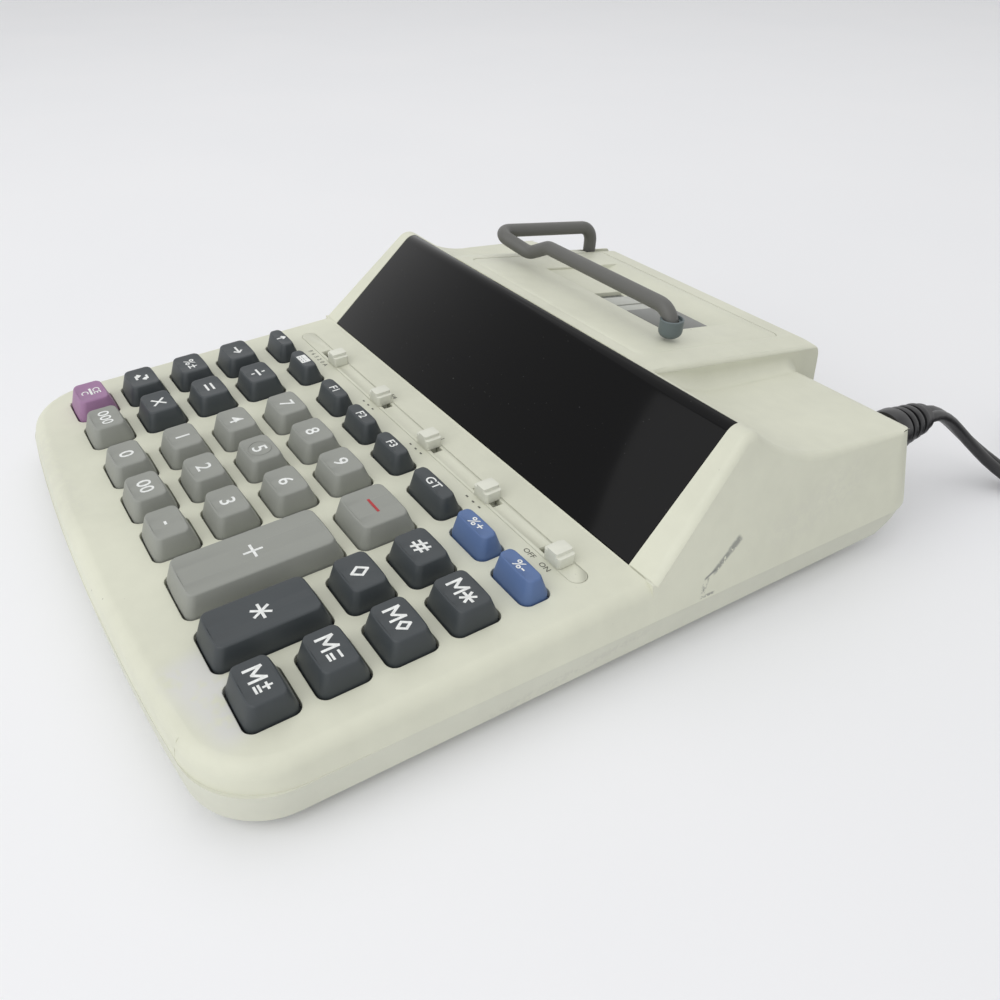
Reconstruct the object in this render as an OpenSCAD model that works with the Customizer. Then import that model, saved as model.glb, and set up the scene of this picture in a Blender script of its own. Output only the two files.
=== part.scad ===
// Printing calculator: sloped key deck, leaning display, printer hump with a swing-up paper arm, mains lead.
// Millimetres. +X right, +Y to the rear, +Z up. The origin is on the table below the middle of the case.

/* [Case] */
// Width at the parting line
case_w = 185; // [180:1:196]
// Length from the front edge to the rear of the printer hump
case_l = 227; // [224:0.5:236]
// Height of the parting line above the table
parting_z = 13.5; // [12.5:0.25:14.5]
// Height of the key deck above the table at mid length
deck_z = 23.7; // [23.5:0.1:26]
// Slope of the key deck in degrees
deck_tilt = 2; // [1:0.1:3]
// Inward lean of the upper walls in degrees
wall_lean = 13; // [9:1:15]
// Thickness of the case walls
wall = 2.2; // [1.8:0.1:2.4]
// Forward bow of the front edge over half the width
front_bow = 5; // [3:0.5:7]
// Front corner radius seen from above
front_corner = 20; // [16:1:24]
// Rear corner radius seen from above
rear_corner = 13; // [11:1:16]
// Rounding of the deck's outer edge
deck_round = 4.5; // [2.5:0.5:6]
// Radius of the rounded tail under the rear wall
tail_r = 28; // [24:1:30]
// Height of the feet
foot_h = 1.5; // [1:0.25:2.5]
// Diameter of the feet
foot_d = 12; // [9:1:15]

/* [Keys] */
// Pitch of the key columns
pitch_x = 19; // [18.6:0.1:19.6]
// Pitch of the key rows
pitch_y = 17; // [16.6:0.1:17.4]
// Width of a key at the deck
key_w = 15; // [13.5:0.1:15.2]
// Depth of a key at the deck
key_d = 12.8; // [11.5:0.1:13]
// Depth of a key in the rear row at the deck
small_d = 8; // [7:0.1:8.6]
// Extra width of the plus and minus keys
plus_extra = 3; // [1:0.1:3.4]
// Height of the keys above the deck
key_h = 6; // [4.5:0.25:7]
// Inward draw of the key sides from the deck to the top
key_draw_x = 1; // [0.6:0.1:1.4]
// Inward draw of the key front and back from the deck to the top
key_draw_y = 1.85; // [1:0.05:2]
// Key travel
key_travel = 2.5; // [1.5:0.1:2.6]
// Gap between a key and its hole
key_gap = 0.4; // [0.3:0.05:0.5]
// Front row of keys, behind the middle of the case
front_row_y = -89.8; // [-91:0.1:-89]

/* [Switches] */
// Length of the switch strip
strip_l = 160.6; // [156:0.2:164]
// Width of the switch strip
strip_w = 5.6; // [5:0.1:6.2]
// Middle of the switch strip, behind the middle of the case
strip_y = -9; // [-9.5:0.1:-8.5]
// Length of a knob
knob_l = 6.4; // [5:0.1:7.5]
// Height of a knob above the strip
knob_h = 4; // [3:0.1:5]

/* [Display] */
// Lower edge of the display, behind the middle of the case
crease_y = 3.9; // [3.5:0.1:4.5]
// Height of the top of the display above the deck plane
display_rise = 28; // [27:0.25:29]
// Slope of the display above the deck in degrees
display_slope = 42; // [40:0.5:44]
// Width of the display window at its lower edge
window_w = 163; // [158:0.5:165]
// Width of the display window at its upper edge
window_top_w = 155; // [150:0.5:157]
// Thickness of the display window
window_t = 2; // [1.6:0.1:2.2]
// Radius of the rolled top edge
bullnose_r = 4.5; // [4:0.1:5]

/* [Printer] */
// Width of the hump over its upper ridges
hump_w = 101.5; // [99:0.5:103]
// Middle of the hump, right of the middle of the case
hump_x = -6.75; // [-7.5:0.25:-6]
// Fall of the hump's top to the rear, against the deck, in degrees
hump_fall = 10.75; // [10:0.25:11.5]
// Distance that the hump stands out behind the rear wall
hump_out = 7.5; // [6:0.5:9]
// Length of the paper slot
slot_l = 59; // [58:0.5:61]
// Width of the paper slot, front to rear
slot_w = 20; // [17:0.5:21]
// Front edge of the paper slot, behind the hump's front
slot_front = 28.2; // [27:0.2:29]
// Diameter of the feed roller
roller_d = 12; // [10:0.5:13]
// Diameter of the ink roller
ink_d = 9; // [7:0.5:10]
// Diameter of the roller shafts
shaft_d = 4; // [3:0.25:5]

/* [Paper arm] */
// Diameter of the arm rod
rod_d = 4.6; // [4:0.1:5]
// Diameter of the end cap
cap_d = 8; // [7:0.25:9]
// Diameter of the arm's hinge pin
pin_d = 5; // [4.5:0.1:5.4]

/* [Mains lead] */
// Width of the flat twin lead
lead_w = 6.8; // [6:0.1:7.2]
// Thickness of the flat twin lead
lead_t = 3.4; // [3:0.1:3.6]
// Centre line radius of the outermost turn of the coil
coil_r = 48; // [46:0.5:50]
// Step of the coil from turn to turn
coil_step = 7.5; // [7.3:0.1:8]
// Turns of the coil
coil_turns = 7.25; // [5.25:1:9.25]
// Straight tail from the coil to the plug
tail_l = 29; // [28.5:0.5:60]
// Diameter of the strain relief
relief_d = 13; // [10:0.5:14]
// Length of the strain relief behind the rear wall
relief_l = 16; // [12:0.5:18]

/* [Hidden] */
$fn = 64;
e = 0.01;
// Small step where a round face runs into a flat one
step = 0.02;

CREAM = [0.86, 0.86, 0.79];
LIGHT = [0.56, 0.56, 0.54];
DARK = [0.30, 0.31, 0.32];
PURPLE = [0.69, 0.47, 0.65];
BLUE = [0.38, 0.45, 0.57];
SLATE = [0.40, 0.43, 0.43];
BLACK = [0.06, 0.06, 0.07];
STEEL = [0.70, 0.71, 0.72];

// Deck frame: the key deck is its w = 0 plane, v runs to the rear along the deck
lean = tan(wall_lean);
deck_half = case_w / 2 - lean * (deck_z - parting_z);
front_rise = deck_z - case_l / 2 * tan(deck_tilt) - parting_z;
deck_front = -case_l / 2 + lean * front_rise - 0.1;
bow_r = (deck_half * deck_half + front_bow * front_bow) / (2 * front_bow);
rear_y = case_l / 2 - hump_out;
skirt_w = -24;

// Display slope and rolled top edge, in the deck frame
slope_dir = [cos(display_slope), sin(display_slope)];
slope_in = [sin(display_slope), -cos(display_slope)];
slope_l = (display_rise - bullnose_r + bullnose_r * cos(display_slope)) / sin(display_slope);
slope_top = [crease_y, 0] + slope_l * slope_dir;
nose = slope_top + bullnose_r * slope_in;
nose_end = 75;

// Rear shelf: a straight fall to the rear that sweeps up to the rolled edge in one concave arc
shelf_fall = 8.5;
shelf_r = 45;
shelf_dir = [cos(shelf_fall), -sin(shelf_fall)];
shelf_up = [sin(shelf_fall), cos(shelf_fall)];
shelf_mid = [rear_y - 11.7, 9.9];
shelf_round = 10;
lean_out = [cos(wall_lean), sin(wall_lean)];
shelf_run = (rear_y * lean_out[0] + 0.05 - shelf_round - (shelf_mid - shelf_round * shelf_up) * lean_out)
    / (shelf_dir * lean_out);
shelf_end = shelf_mid + shelf_run * shelf_dir;
sweep_a = shelf_end + shelf_r * shelf_up - nose;
sweep_q = -sweep_a * shelf_dir
    + sqrt(pow(sweep_a * shelf_dir, 2) - sweep_a * sweep_a + pow(bullnose_r + shelf_r, 2));
sweep_c = shelf_end + shelf_r * shelf_up + sweep_q * shelf_dir;
sweep_top = nose + bullnose_r * (sweep_c - nose) / norm(sweep_c - nose);
sweep_low = sweep_c - shelf_r * shelf_up;

// Printer hump, in the deck frame and in its own frame along its top
hump_v = nose[0] + bullnose_r * cos(nose_end) + 0.2;
hump_top = display_rise - 0.1;
hump_tan = tan(hump_fall);
hump_rear = (case_l / 2 - 0.14) / cos(deck_tilt);
hump_left = hump_x - hump_w / 2;
hump_right = hump_x + hump_w / 2;
band = 7;
band_drop = 1.6;
cover_t = 1.6;
cover_l = 61;
cover_front = 5;
slot_x = hump_x + 1.25;
cover_rim = 4.3;
ramp_l = cover_front + cover_l - cover_rim - slot_front - slot_w;
ramp_drop = 5;

// Keys: name, column, middle behind the front row, width and depth at the deck, colour
col_mid = -9.7;
left_gap = 4.8;
right_gap = 4;
plus_gap = 2;
col = [
    col_mid - 3 * pitch_x - left_gap, col_mid - 2 * pitch_x - left_gap, col_mid - pitch_x, col_mid,
    col_mid + pitch_x, col_mid + 2 * pitch_x + right_gap, col_mid + 3 * pitch_x + right_gap + plus_gap,
    col_mid + 4 * pitch_x + right_gap + plus_gap];
rear_row = 4 * pitch_y - 0.4;
wide = key_w + plus_extra;
plus_d = key_d + 2 * pitch_y - 4;
KEYS = [
    ["key_clear", 0, 0, key_w, key_d, PURPLE], ["key_000", 1, 0, key_w, key_d, LIGHT],
    ["key_0", 2, 0, key_w, key_d, LIGHT], ["key_00", 3, 0, key_w, key_d, LIGHT],
    ["key_point", 4, 0, key_w, key_d, LIGHT], ["key_plus", 5, pitch_y - 2, wide, plus_d, LIGHT],
    ["key_total", 6, pitch_y / 2, key_w, key_d + pitch_y, DARK],
    ["key_memory_plus", 7, 0, key_w, key_d, DARK],
    ["key_sign", 0, pitch_y, key_w, key_d, DARK], ["key_times", 1, pitch_y, key_w, key_d, DARK],
    ["key_1", 2, pitch_y, key_w, key_d, LIGHT], ["key_2", 3, pitch_y, key_w, key_d, LIGHT],
    ["key_3", 4, pitch_y, key_w, key_d, LIGHT], ["key_memory_minus", 7, pitch_y, key_w, key_d, DARK],
    ["key_percent", 0, 2 * pitch_y, key_w, key_d, DARK], ["key_equals", 1, 2 * pitch_y, key_w, key_d, DARK],
    ["key_4", 2, 2 * pitch_y, key_w, key_d, LIGHT], ["key_5", 3, 2 * pitch_y, key_w, key_d, LIGHT],
    ["key_6", 4, 2 * pitch_y, key_w, key_d, LIGHT], ["key_subtotal", 6, 2 * pitch_y, key_w, key_d, DARK],
    ["key_memory_subtotal", 7, 2 * pitch_y, key_w, key_d, DARK],
    ["key_shift", 0, 3 * pitch_y, key_w, key_d, DARK], ["key_divide", 1, 3 * pitch_y, key_w, key_d, DARK],
    ["key_7", 2, 3 * pitch_y, key_w, key_d, LIGHT], ["key_8", 3, 3 * pitch_y, key_w, key_d, LIGHT],
    ["key_9", 4, 3 * pitch_y, key_w, key_d, LIGHT],
    ["key_minus", 5, 3 * pitch_y - 2, wide, key_d + 4, LIGHT],
    ["key_count", 6, 3 * pitch_y, key_w, key_d, DARK],
    ["key_memory_total", 7, 3 * pitch_y, key_w, key_d, DARK],
    ["key_feed", 0, rear_row, key_w, small_d, DARK], ["key_calendar", 1, rear_row, key_w, small_d, DARK],
    ["key_f1", 2, rear_row, key_w, small_d, DARK], ["key_f2", 3, rear_row, key_w, small_d, DARK],
    ["key_f3", 4, rear_row, key_w, small_d, DARK], ["key_grand_total", 5, rear_row, wide, small_d, DARK],
    ["key_tax_plus", 6, rear_row, key_w, small_d, BLUE], ["key_tax_minus", 7, rear_row, key_w, small_d, BLUE]];
function key_at(k) = [col[k[1]], front_row_y + k[2]];

// Levels below the deck: key flange, rubber mat and board
flange_top = -wall - 0.2;
flange_t = 1;
flange_rim = 1.1;
mat_top = flange_top - flange_t - key_travel - 0.4;
mat_w = mat_top - 1.6;
board_t = 1.6;
board_w = mat_w - board_t;
board_half = 74;
board_front = front_row_y - 8;
board_rear = strip_y + 5;

// Switch knobs: name, place along the strip, travel to the left and to the right
KNOBS = [
    ["knob_decimal", -53.5, 8, 0], ["knob_rounding", -22.2, 3, 3], ["knob_total", 8, 3, 3],
    ["knob_print", 39, 3, 3], ["knob_power", 70.6, 4, 0]];
strip_t = 1;
stem_w = 2.4;
slot_play = 0.4;

// Printer mechanism
frame_left = -38;
frame_right = 25.5;
plate_t = 2;
frame_z = 16;
roller_y = 72;
roller_z = 34.5;
ink_y = 60.5;
ink_z = 35;
running = 0.05;
inlet_z = 25.5;
inlet_h = 5.5;

// Paper arm: hinge, leg, kink and spindle in its stored place over the hump
arm_x = -52.3;
arm_y = 99;
arm_z = 36.5;
arm_play = 0.8;
leg_rear_z = 52;
leg_front = [54.4, 58.6];
kink = [-38.6, 59.6, 54];
spindle_start = -29.5;
spindle_end = 30;
spindle_y = 60.3;
cap_z = 50.2;
cap_h = 5.5;
bend_r = 6;
ARM_ROUTE = [
    [arm_x, arm_y, arm_z], [arm_x, arm_y, leg_rear_z],
    [arm_x, leg_front[0], leg_front[1]], kink, [spindle_start, spindle_y, leg_front[1]],
    [spindle_end, spindle_y, leg_front[1]], [spindle_end, spindle_y, cap_z + 2]];
ARM_BENDS = [0, bend_r, 4, 5, 5, bend_r, 0];

// Screws, feet and posts
SCREWS = [[84.3, -81], [80, 72]];
screw_d = 2.8;
head_d = 6;
head_h = 2.2;
post_d = 9;
slim_post_d = 6;
screw_grip = 4.6;
foot_x = 70;
foot_front = -88;
foot_rear = 60;
floor_t = 2;

// Mains lead: route from the strain relief down to the table and along it to the coil
relief_x = 77;
relief_z = 28;
relief_end = rear_y + relief_l;
lead_z = lead_t / 2;
LEAD_ROUTE = [
    [77, relief_end, 28], [77, 124, 28], [77, 127, 27.7], [77, 130, 26.8], [77.4, 133, 25.3],
    [78, 136, 23.3], [79, 139, 20.8], [80.3, 142, 18], [82, 145, 15], [84, 148, 12], [86.5, 150.7, 9.2],
    [89.5, 153, 6.8], [93, 155, 4.7], [97, 156.5, 3], [101.5, 157.5, lead_z + 0.3], [107, 158, lead_z],
    [112, 158, lead_z], [117.2, 158, lead_z]];
coil_at = [117.2 + lead_w, 158 + coil_r];
coil_lift = lead_t + 0.5;

// Frames

module deck_frame() translate([0, 0, deck_z]) rotate([deck_tilt, 0, 0]) children();

// Turns a drawing in (v, w) into a bar along X from x0 to x1
module across(x0, x1) translate([x0, 0, 0]) rotate([90, 0, 90]) linear_extrude(x1 - x0) children();

// Turns a drawing in (x, w) into a bar along v from v0 to v1
module along(v0, v1) translate([0, v1, 0]) rotate([90, 0, 0]) linear_extrude(v1 - v0) children();

// Round bar along X from x0 to x1 about the point c in (v, w)
module bar(x0, x1, c, r) translate([x0, c[0], c[1]]) rotate([0, 90, 0]) cylinder(r = r, h = x1 - x0);

// Frame of the hump's top: t runs to the rear along it, u is square to it
module hump_frame() deck_frame() translate([0, hump_v, hump_top]) rotate([-hump_fall, 0, 0]) children();

// Frame of the display: t runs up the slope, u is square to it
module slope_frame() deck_frame() translate([0, crease_y, 0]) rotate([display_slope, 0, 0]) children();

// Plain shapes

module rounded(w, d, r) {
    square([w - 2 * r, d], center = true);
    if (d > 2 * r + e) square([w, d - 2 * r], center = true);
    for (x = [-1, 1], y = [-1, 1]) translate([x * (w / 2 - r), y * (d / 2 - r)]) circle(r);
}

module half_plane() translate([0, -100]) square([400, 200]);

// Sweeps an edge profile round the case outline: straight sides, bowed front, round corners.
// The profile has the outline at its x = 0, goes inward to negative x, and has its heights as y.
module outline_sweep(half, front, rear) {
    fc = [half - front_corner,
          front + bow_r - sqrt(pow(bow_r - front_corner, 2) - pow(half - front_corner, 2))];
    rc = [half - rear_corner, rear - rear_corner];
    turn = asin(fc[0] / (bow_r - front_corner));
    for (s = [0, 1]) mirror([s, 0, 0]) {
        along(fc[1], rc[1]) intersection() { translate([half, 0]) children(); half_plane(); }
        translate([fc[0], fc[1], 0]) rotate_extrude()
            intersection() { translate([front_corner - step, 0]) children(); half_plane(); }
        translate([rc[0], rc[1], 0]) rotate_extrude()
            intersection() { translate([rear_corner - step, 0]) children(); half_plane(); }
    }
    translate([0, front + bow_r, 0]) rotate([0, 0, -90 - turn]) rotate_extrude(angle = 2 * turn, $fn = 360)
        intersection() { translate([bow_r + 8 * step, 0]) children(); translate([bow_r - 60, -100]) square([100, 200]); }
    translate([-rc[0], rear, 0]) rotate([90, 0, 90]) linear_extrude(2 * rc[0])
        intersection() { children(); translate([-60, -100]) square([100, 200]); }
}

// Tube of a flat or round section along points, with a level side direction
function unit(p) = p / norm(p);
function heading(p, i) = unit(p[min(i + 1, len(p) - 1)] - p[max(i - 1, 0)]);
function level_side(h) = unit(cross([0, 0, 1], h));
function flat_section(n, w, t, k) =
    let (half = n / 2, side = k < half ? 1 : -1, a = 90 * (1 - side) - 90 + 180 * (k % half) / (half - 1))
    [side * (w - t) / 2 + t / 2 * cos(a), t / 2 * sin(a)];
function tube_faces(n, m) = concat(
    [for (k = [1:n - 2]) [0, k + 1, k]], [for (k = [1:n - 2]) (m - 1) * n * [1, 1, 1] + [0, k, k + 1]],
    [for (i = [0:m - 2], k = [0:n - 1]) let (a = i * n + k, b = i * n + (k + 1) % n)
        each [[a, b, b + n], [a, b + n, a + n]]]);
function flat_tube_points(p, n, w, t) = [for (i = [0:len(p) - 1])
    let (h = heading(p, i), s = level_side(h), u = cross(h, s))
    each [for (k = [0:n - 1]) let (o = flat_section(n, w, t, k)) p[i] - o[0] * s + o[1] * u]];
module flat_tube(p, n, w, t) polyhedron(flat_tube_points(p, n, w, t), tube_faces(n, len(p)));

// Round rod along corner points with bend radii: its side direction is carried from ring to ring
function bend_points(a, b, c, r, steps) = r == 0 ? [b] :
    let (u = unit(a - b), v = unit(c - b), half = acos(u * v) / 2, cut = r / tan(half),
         m = b + unit(u + v) * r / sin(half), p = b + u * cut - m, q = b + v * cut - m, turn = 180 - 2 * half)
    [for (i = [0:steps]) m + (sin(turn * (1 - i / steps)) * p + sin(turn * i / steps) * q) / sin(turn)];
function rod_points(p, r) = [for (i = [0:len(p) - 1])
    each bend_points(p[max(i - 1, 0)], p[i], p[min(i + 1, len(p) - 1)], r[i], 5)];
function carry(s, h) = unit(s - (s * h) * h);
function rod_sides(p, i) = i == 0 ? [carry([0, 1, 0], heading(p, 0))] :
    let (past = rod_sides(p, i - 1)) concat(past, [carry(past[i - 1], heading(p, i))]);
module rod(route, bends, d, n) {
    p = rod_points(route, bends);
    s = rod_sides(p, len(p) - 1);
    polyhedron([for (i = [0:len(p) - 1]) each [for (k = [0:n - 1]) let (a = 360 * k / n)
        p[i] + d / 2 * (cos(a) * s[i] - sin(a) * cross(heading(p, i), s[i]))]], tube_faces(n, len(p)));
}

// Case

// Deck edge: leaning wall that rounds over into the deck
round_c = [-deck_round * (1 / cos(wall_lean) - lean), -deck_round];
module deck_edge() polygon([
    [-400, skirt_w], [-lean * skirt_w, skirt_w], round_c + deck_round * lean_out, round_c, [round_c[0], 0], [-400, 0]]);
module deck_rim() translate(round_c) circle(deck_round - step);

module tall_edge()
    polygon([[-400, skirt_w], [-lean * skirt_w, skirt_w], [-lean * 40, 40], [-400, 40]]);

// Rear of the case: display slope, rolled edge, shelf, rounded rear edge
module rear_body() {
    low = shelf_end - shelf_round * shelf_up;
    rim = low + shelf_round * lean_out;
    difference() {
        union() {
            across(-100, 100) polygon([[crease_y, skirt_w], [crease_y, 0], slope_top, nose, sweep_top,
                [sweep_low[0], sweep_top[1]], sweep_low, shelf_end, low, rim, [rear_y + 20, rim[1]],
                [rear_y + 20, skirt_w]]);
            bar(-100, 100, nose, bullnose_r - step);
            bar(-100, 100, low, shelf_round - step);
        }
        bar(-101, 101, sweep_c, shelf_r + 3 * step);
    }
}

// Flat bottom that rounds up into the rear wall
module tail_body(inset) {
    c = [rear_y + 0.5 - tail_r, foot_h + tail_r];
    r = tail_r - inset;
    across(-120, 120) polygon([[-200, c[1] - r], [c[0], c[1] - r], c, [c[0] + r, c[1]], [c[0] + r, 120], [-200, 120]]);
    bar(-120, 120, c, r - step);
}

function hump_w_at(v) = hump_top - hump_tan * (v - hump_v);

module hump_body() {
    c = [hump_rear - 6, hump_w_at(hump_rear - 6) - 6 / cos(hump_fall)];
    q = c + 6 * [sin(hump_fall), cos(hump_fall)];
    intersection() {
        deck_frame() {
            across(hump_left - 20, hump_right + 20) polygon([[hump_v, -6], [hump_v, hump_top], q, c, [hump_rear, c[1]], [hump_rear, -4],
                [hump_rear - hump_out - 4, -16], [hump_rear - 30, -16]]);
            bar(hump_left - 20, hump_right + 20, c, 6 - step);
        }
        hump_frame() along(-20, 120) polygon([
            [hump_left - 4, -45], [hump_left, -band_drop], [hump_left + 3.5 * band, 2.5 * band_drop],
            [hump_right - 3.5 * band, 2.5 * band_drop], [hump_right, -band_drop], [hump_right + 4, -45]]);
    }
}

module upper_outer() {
    deck_frame() intersection() {
        union() {
            outline_sweep(deck_half, deck_front, rear_y) deck_edge();
            outline_sweep(deck_half, deck_front, rear_y) deck_rim();
        }
        across(-100, 100) polygon([
            [-130, skirt_w], [-130, -2 * step], [crease_y + 20, -2 * step], [crease_y + 20, skirt_w]]);
    }
    intersection() {
        deck_frame() outline_sweep(deck_half, deck_front, rear_y) tall_edge();
        deck_frame() rear_body();
        tail_body(0);
    }
    hump_body();
}

// Hollow of the upper case: under the deck, under the display and shelf, under the hump
module upper_hollow() {
    in_half = deck_half - 2.4;
    deck_frame() {
        translate([0, (deck_front + 6 + crease_y) / 2, -30 - wall])
            linear_extrude(30) rounded(2 * in_half, crease_y - deck_front - 6, 16);
        translate([-in_half, -20, -30 - wall]) cube([2 * in_half, crease_y + 20, 30]);
        across(8 - deck_half, deck_half - 8) polygon([
            [-10, -32], [-10, -wall], [crease_y + 2.3, -wall - 0.5], [crease_y + 2.8, -3.1],
            [33.3, 21], [38, 21.5], [46, 17.8], [54, 14.2], [62, 11.8], [rear_y - 9, 6.4], [rear_y - 6, 2],
            [rear_y - 9, -32]]);
        across(-46.8, hump_right - 3.5) polygon([
            [hump_v + 2.4, 10], [hump_v + 2.4, hump_w_at(hump_v + 2.4) - 2.6],
            [hump_rear - 2.4, hump_w_at(hump_rear - 2.4) - 2.6], [hump_rear - 2.4, -2], [rear_y - 12, -6], [60, -6]]);
    }
}

// Display window: a slab up the slope and a roll over the top, with tapered sides, open outward by out
function on_slope(t, u) = [crease_y, 0] + t * slope_dir - u * slope_in;
function around_nose(a, r) = nose + r * [cos(a), sin(a)];
module window_body(play, out) {
    low = 0.3 - play;
    back = -window_t - play;
    intersection() {
        deck_frame() union() {
            across(-100, 100) polygon([
                on_slope(low, out), on_slope(slope_l, out), on_slope(slope_l, back), on_slope(low, back)]);
            intersection() {
                across(-99, 99) polygon([nose, around_nose(nose_end - 10 * play, 20), around_nose(100, 24),
                    around_nose(91 + display_slope, 20)]);
                difference() {
                    bar(-100, 100, nose, bullnose_r + out - step);
                    bar(-101, 101, nose, bullnose_r + back + step);
                }
            }
        }
        slope_frame() translate([0, 0, -15]) linear_extrude(30) polygon([
            [-window_w / 2 - play, -2], [window_w / 2 + play, -2],
            [window_top_w / 2 + play, slope_l + 8], [-window_top_w / 2 - play, slope_l + 8]]);
    }
}

// Outline of the printer cover in the hump's frame
module cover_outline(grow) {
    left = arm_x + 3.7;
    right = hump_right - band - 0.5;
    translate([(left + right) / 2, cover_front + cover_l / 2])
        rounded(right - left + 2 * grow, cover_l + 2 * grow, 2.5 + grow);
}

// Way of the paper from the rear to the feed roller
module paper_inlet() translate([slot_x - slot_l / 2, roller_y + 8, inlet_z]) cube([slot_l, 60, inlet_h]);

module knob_slot(k, w, h) {
    l = 3.5 + k[2] + k[3] + 2 * slot_play;
    translate([k[1] + (k[3] - k[2]) / 2, strip_y, -h]) linear_extrude(2 * h) square([l, w], center = true);
}

module screw_places() for (s = [-1, 1], at = SCREWS) translate([s * at[0], at[1], 0]) children();

module key_hole(k) deck_frame() translate([key_at(k)[0], key_at(k)[1], -wall - 1])
    linear_extrude(wall + 2) rounded(k[3] + 2 * key_gap, k[4] + 2 * key_gap, 2.2 + key_gap);

module upper_case() color(CREAM) difference() {
    union() {
        difference() {
            upper_outer();
            upper_hollow();
        }
        intersection() {
            screw_places() translate([0, 0, parting_z]) cylinder(d = slim_post_d, h = 30);
            deck_frame() across(-100, 100) polygon([
                [-120, -20], [-120, -1], [0, -1], [60, 13.5], [80, 10.5], [80, -20]]);
        }
        translate([-47, arm_y, arm_z]) rotate([0, 90, 0]) cylinder(d = pin_d + 4.5, h = 5);
    }
    translate([-150, -150, -50]) cube([300, 300, 50 + parting_z]);
    for (k = KEYS) key_hole(k);
    deck_frame() {
        translate([0, strip_y, -strip_t]) linear_extrude(5) rounded(strip_l, strip_w, strip_w / 2);
        for (k = KNOBS) knob_slot(k, stem_w + 2 * slot_play, 5);
    }
    window_body(0.1, 6);
    slope_frame() translate([-62, 9, -8]) cube([124, 24, 8]);
    hump_frame() {
        translate([0, 0, -cover_t]) linear_extrude(8) cover_outline(0.1);
        translate([0, 0, -6]) linear_extrude(6) cover_outline(-1.6);
    }
    translate([arm_x - 3.1, arm_y - 3.8, arm_z - 4.5]) cube([6.2, 40, 40]);
    translate([arm_x, arm_y, arm_z]) rotate([0, 90, 0]) cylinder(d = pin_d + 2 * running, h = 20);
    paper_inlet();
    translate([relief_x, rear_y - 12, relief_z]) rotate([-90, 0, 0]) cylinder(d = relief_d - 2.8, h = 30);
    translate([relief_x, rear_y - 2.1, relief_z]) rotate([-90, 0, 0]) cylinder(d = relief_d + 0.2, h = 30);
    screw_places() translate([0, 0, parting_z - 1]) cylinder(d = screw_d + 2 * running, h = screw_grip + 1.4);
}

module lower_edge() polygon([
    [-400, foot_h], [-3.5, foot_h], [-0.6, foot_h + 3.5], [0, parting_z], [0, parting_z + 4], [-400, parting_z + 4]]);

module lower_case() color(CREAM) difference() {
    half = case_w / 2 - 0.5;
    union() {
        difference() {
            intersection() {
                outline_sweep(half, -case_l / 2, rear_y + 3) lower_edge();
                tail_body(0);
                translate([-150, -150, 0]) cube([300, 300, parting_z]);
            }
            intersection() {
                translate([0, -case_l / 2 + 5 + (case_l + 20) / 2, foot_h + floor_t])
                    linear_extrude(40) rounded(2 * half - 6, case_l + 20, 16);
                tail_body(floor_t);
            }
        }
        screw_places() translate([0, 0, foot_h + 1]) cylinder(d = post_d, h = parting_z - foot_h - 1);
        intersection() {
            for (x = [-64, 64], y = [board_front + 10, (board_front + board_rear) / 2, board_rear - 8])
                translate([x, y, foot_h + 1]) cylinder(d = 7, h = 30);
            deck_frame() translate([-100, -150, board_w - 40]) cube([200, 200, 40]);
        }
        for (x = [frame_left + 6, frame_right - 6], y = [58, 82])
            translate([x, y, foot_h + 1]) cylinder(d = 8, h = frame_z - foot_h - 1);
    }
    screw_places() {
        translate([0, 0, -1]) cylinder(d = screw_d + 0.6, h = 40);
        translate([0, 0, -1]) cylinder(d = head_d + 0.6, h = foot_h + head_h + 1.6);
    }
    for (x = [-foot_x, foot_x], y = [foot_front, foot_rear])
        translate([x, y, -1]) cylinder(d = foot_d + 0.3, h = foot_h + 1.8);
}

module display_window() color(BLACK) window_body(0, 0);

module switch_panel() color(CREAM) deck_frame() difference() {
    translate([0, strip_y, -strip_t]) linear_extrude(strip_t) rounded(strip_l - 0.3, strip_w - 0.3, strip_w / 2 - 0.15);
    for (k = KNOBS) knob_slot(k, stem_w + 2 * slot_play, 5);
}

module printer_cover() color(CREAM) hump_frame() {
    x0 = slot_x - slot_l / 2;
    x1 = slot_x + slot_l / 2;
    rear = slot_front + slot_w;
    end = rear + ramp_l;
    difference() {
        translate([0, 0, -cover_t]) linear_extrude(cover_t) cover_outline(0);
        translate([x0, slot_front, -5]) cube([slot_l, slot_w + ramp_l, 10]);
    }
    across(x0, x1) polygon([[rear, -ramp_drop], [end, 0], [end, -cover_t], [rear, -ramp_drop - cover_t]]);
    for (x = [x0 - 1.2, x1]) across(x, x + 1.2)
        polygon([[rear, 0], [end, 0], [end, -cover_t], [rear, -ramp_drop - cover_t]]);
    across(x0, x1) polygon([[slot_front - 1.4, -1], [slot_front, -1], [slot_front, -4.5], [slot_front - 1.4, -4]]);
}

module paper_arm() {
    color(SLATE) {
        rod(ARM_ROUTE, ARM_BENDS, rod_d, 12);
        translate([arm_x - 2.7, arm_y, arm_z]) rotate([0, 90, 0]) cylinder(d = 6.4, h = 5.4);
        translate([arm_x, arm_y, arm_z]) rotate([0, 90, 0]) cylinder(d = pin_d, h = 9.7);
    }
    color(SLATE) translate([spindle_end, spindle_y, cap_z]) {
        cylinder(d = cap_d, h = cap_h);
        translate([0, 0, cap_h]) cylinder(d1 = cap_d, d2 = rod_d + 1, h = 1.2);
    }
}

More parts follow.
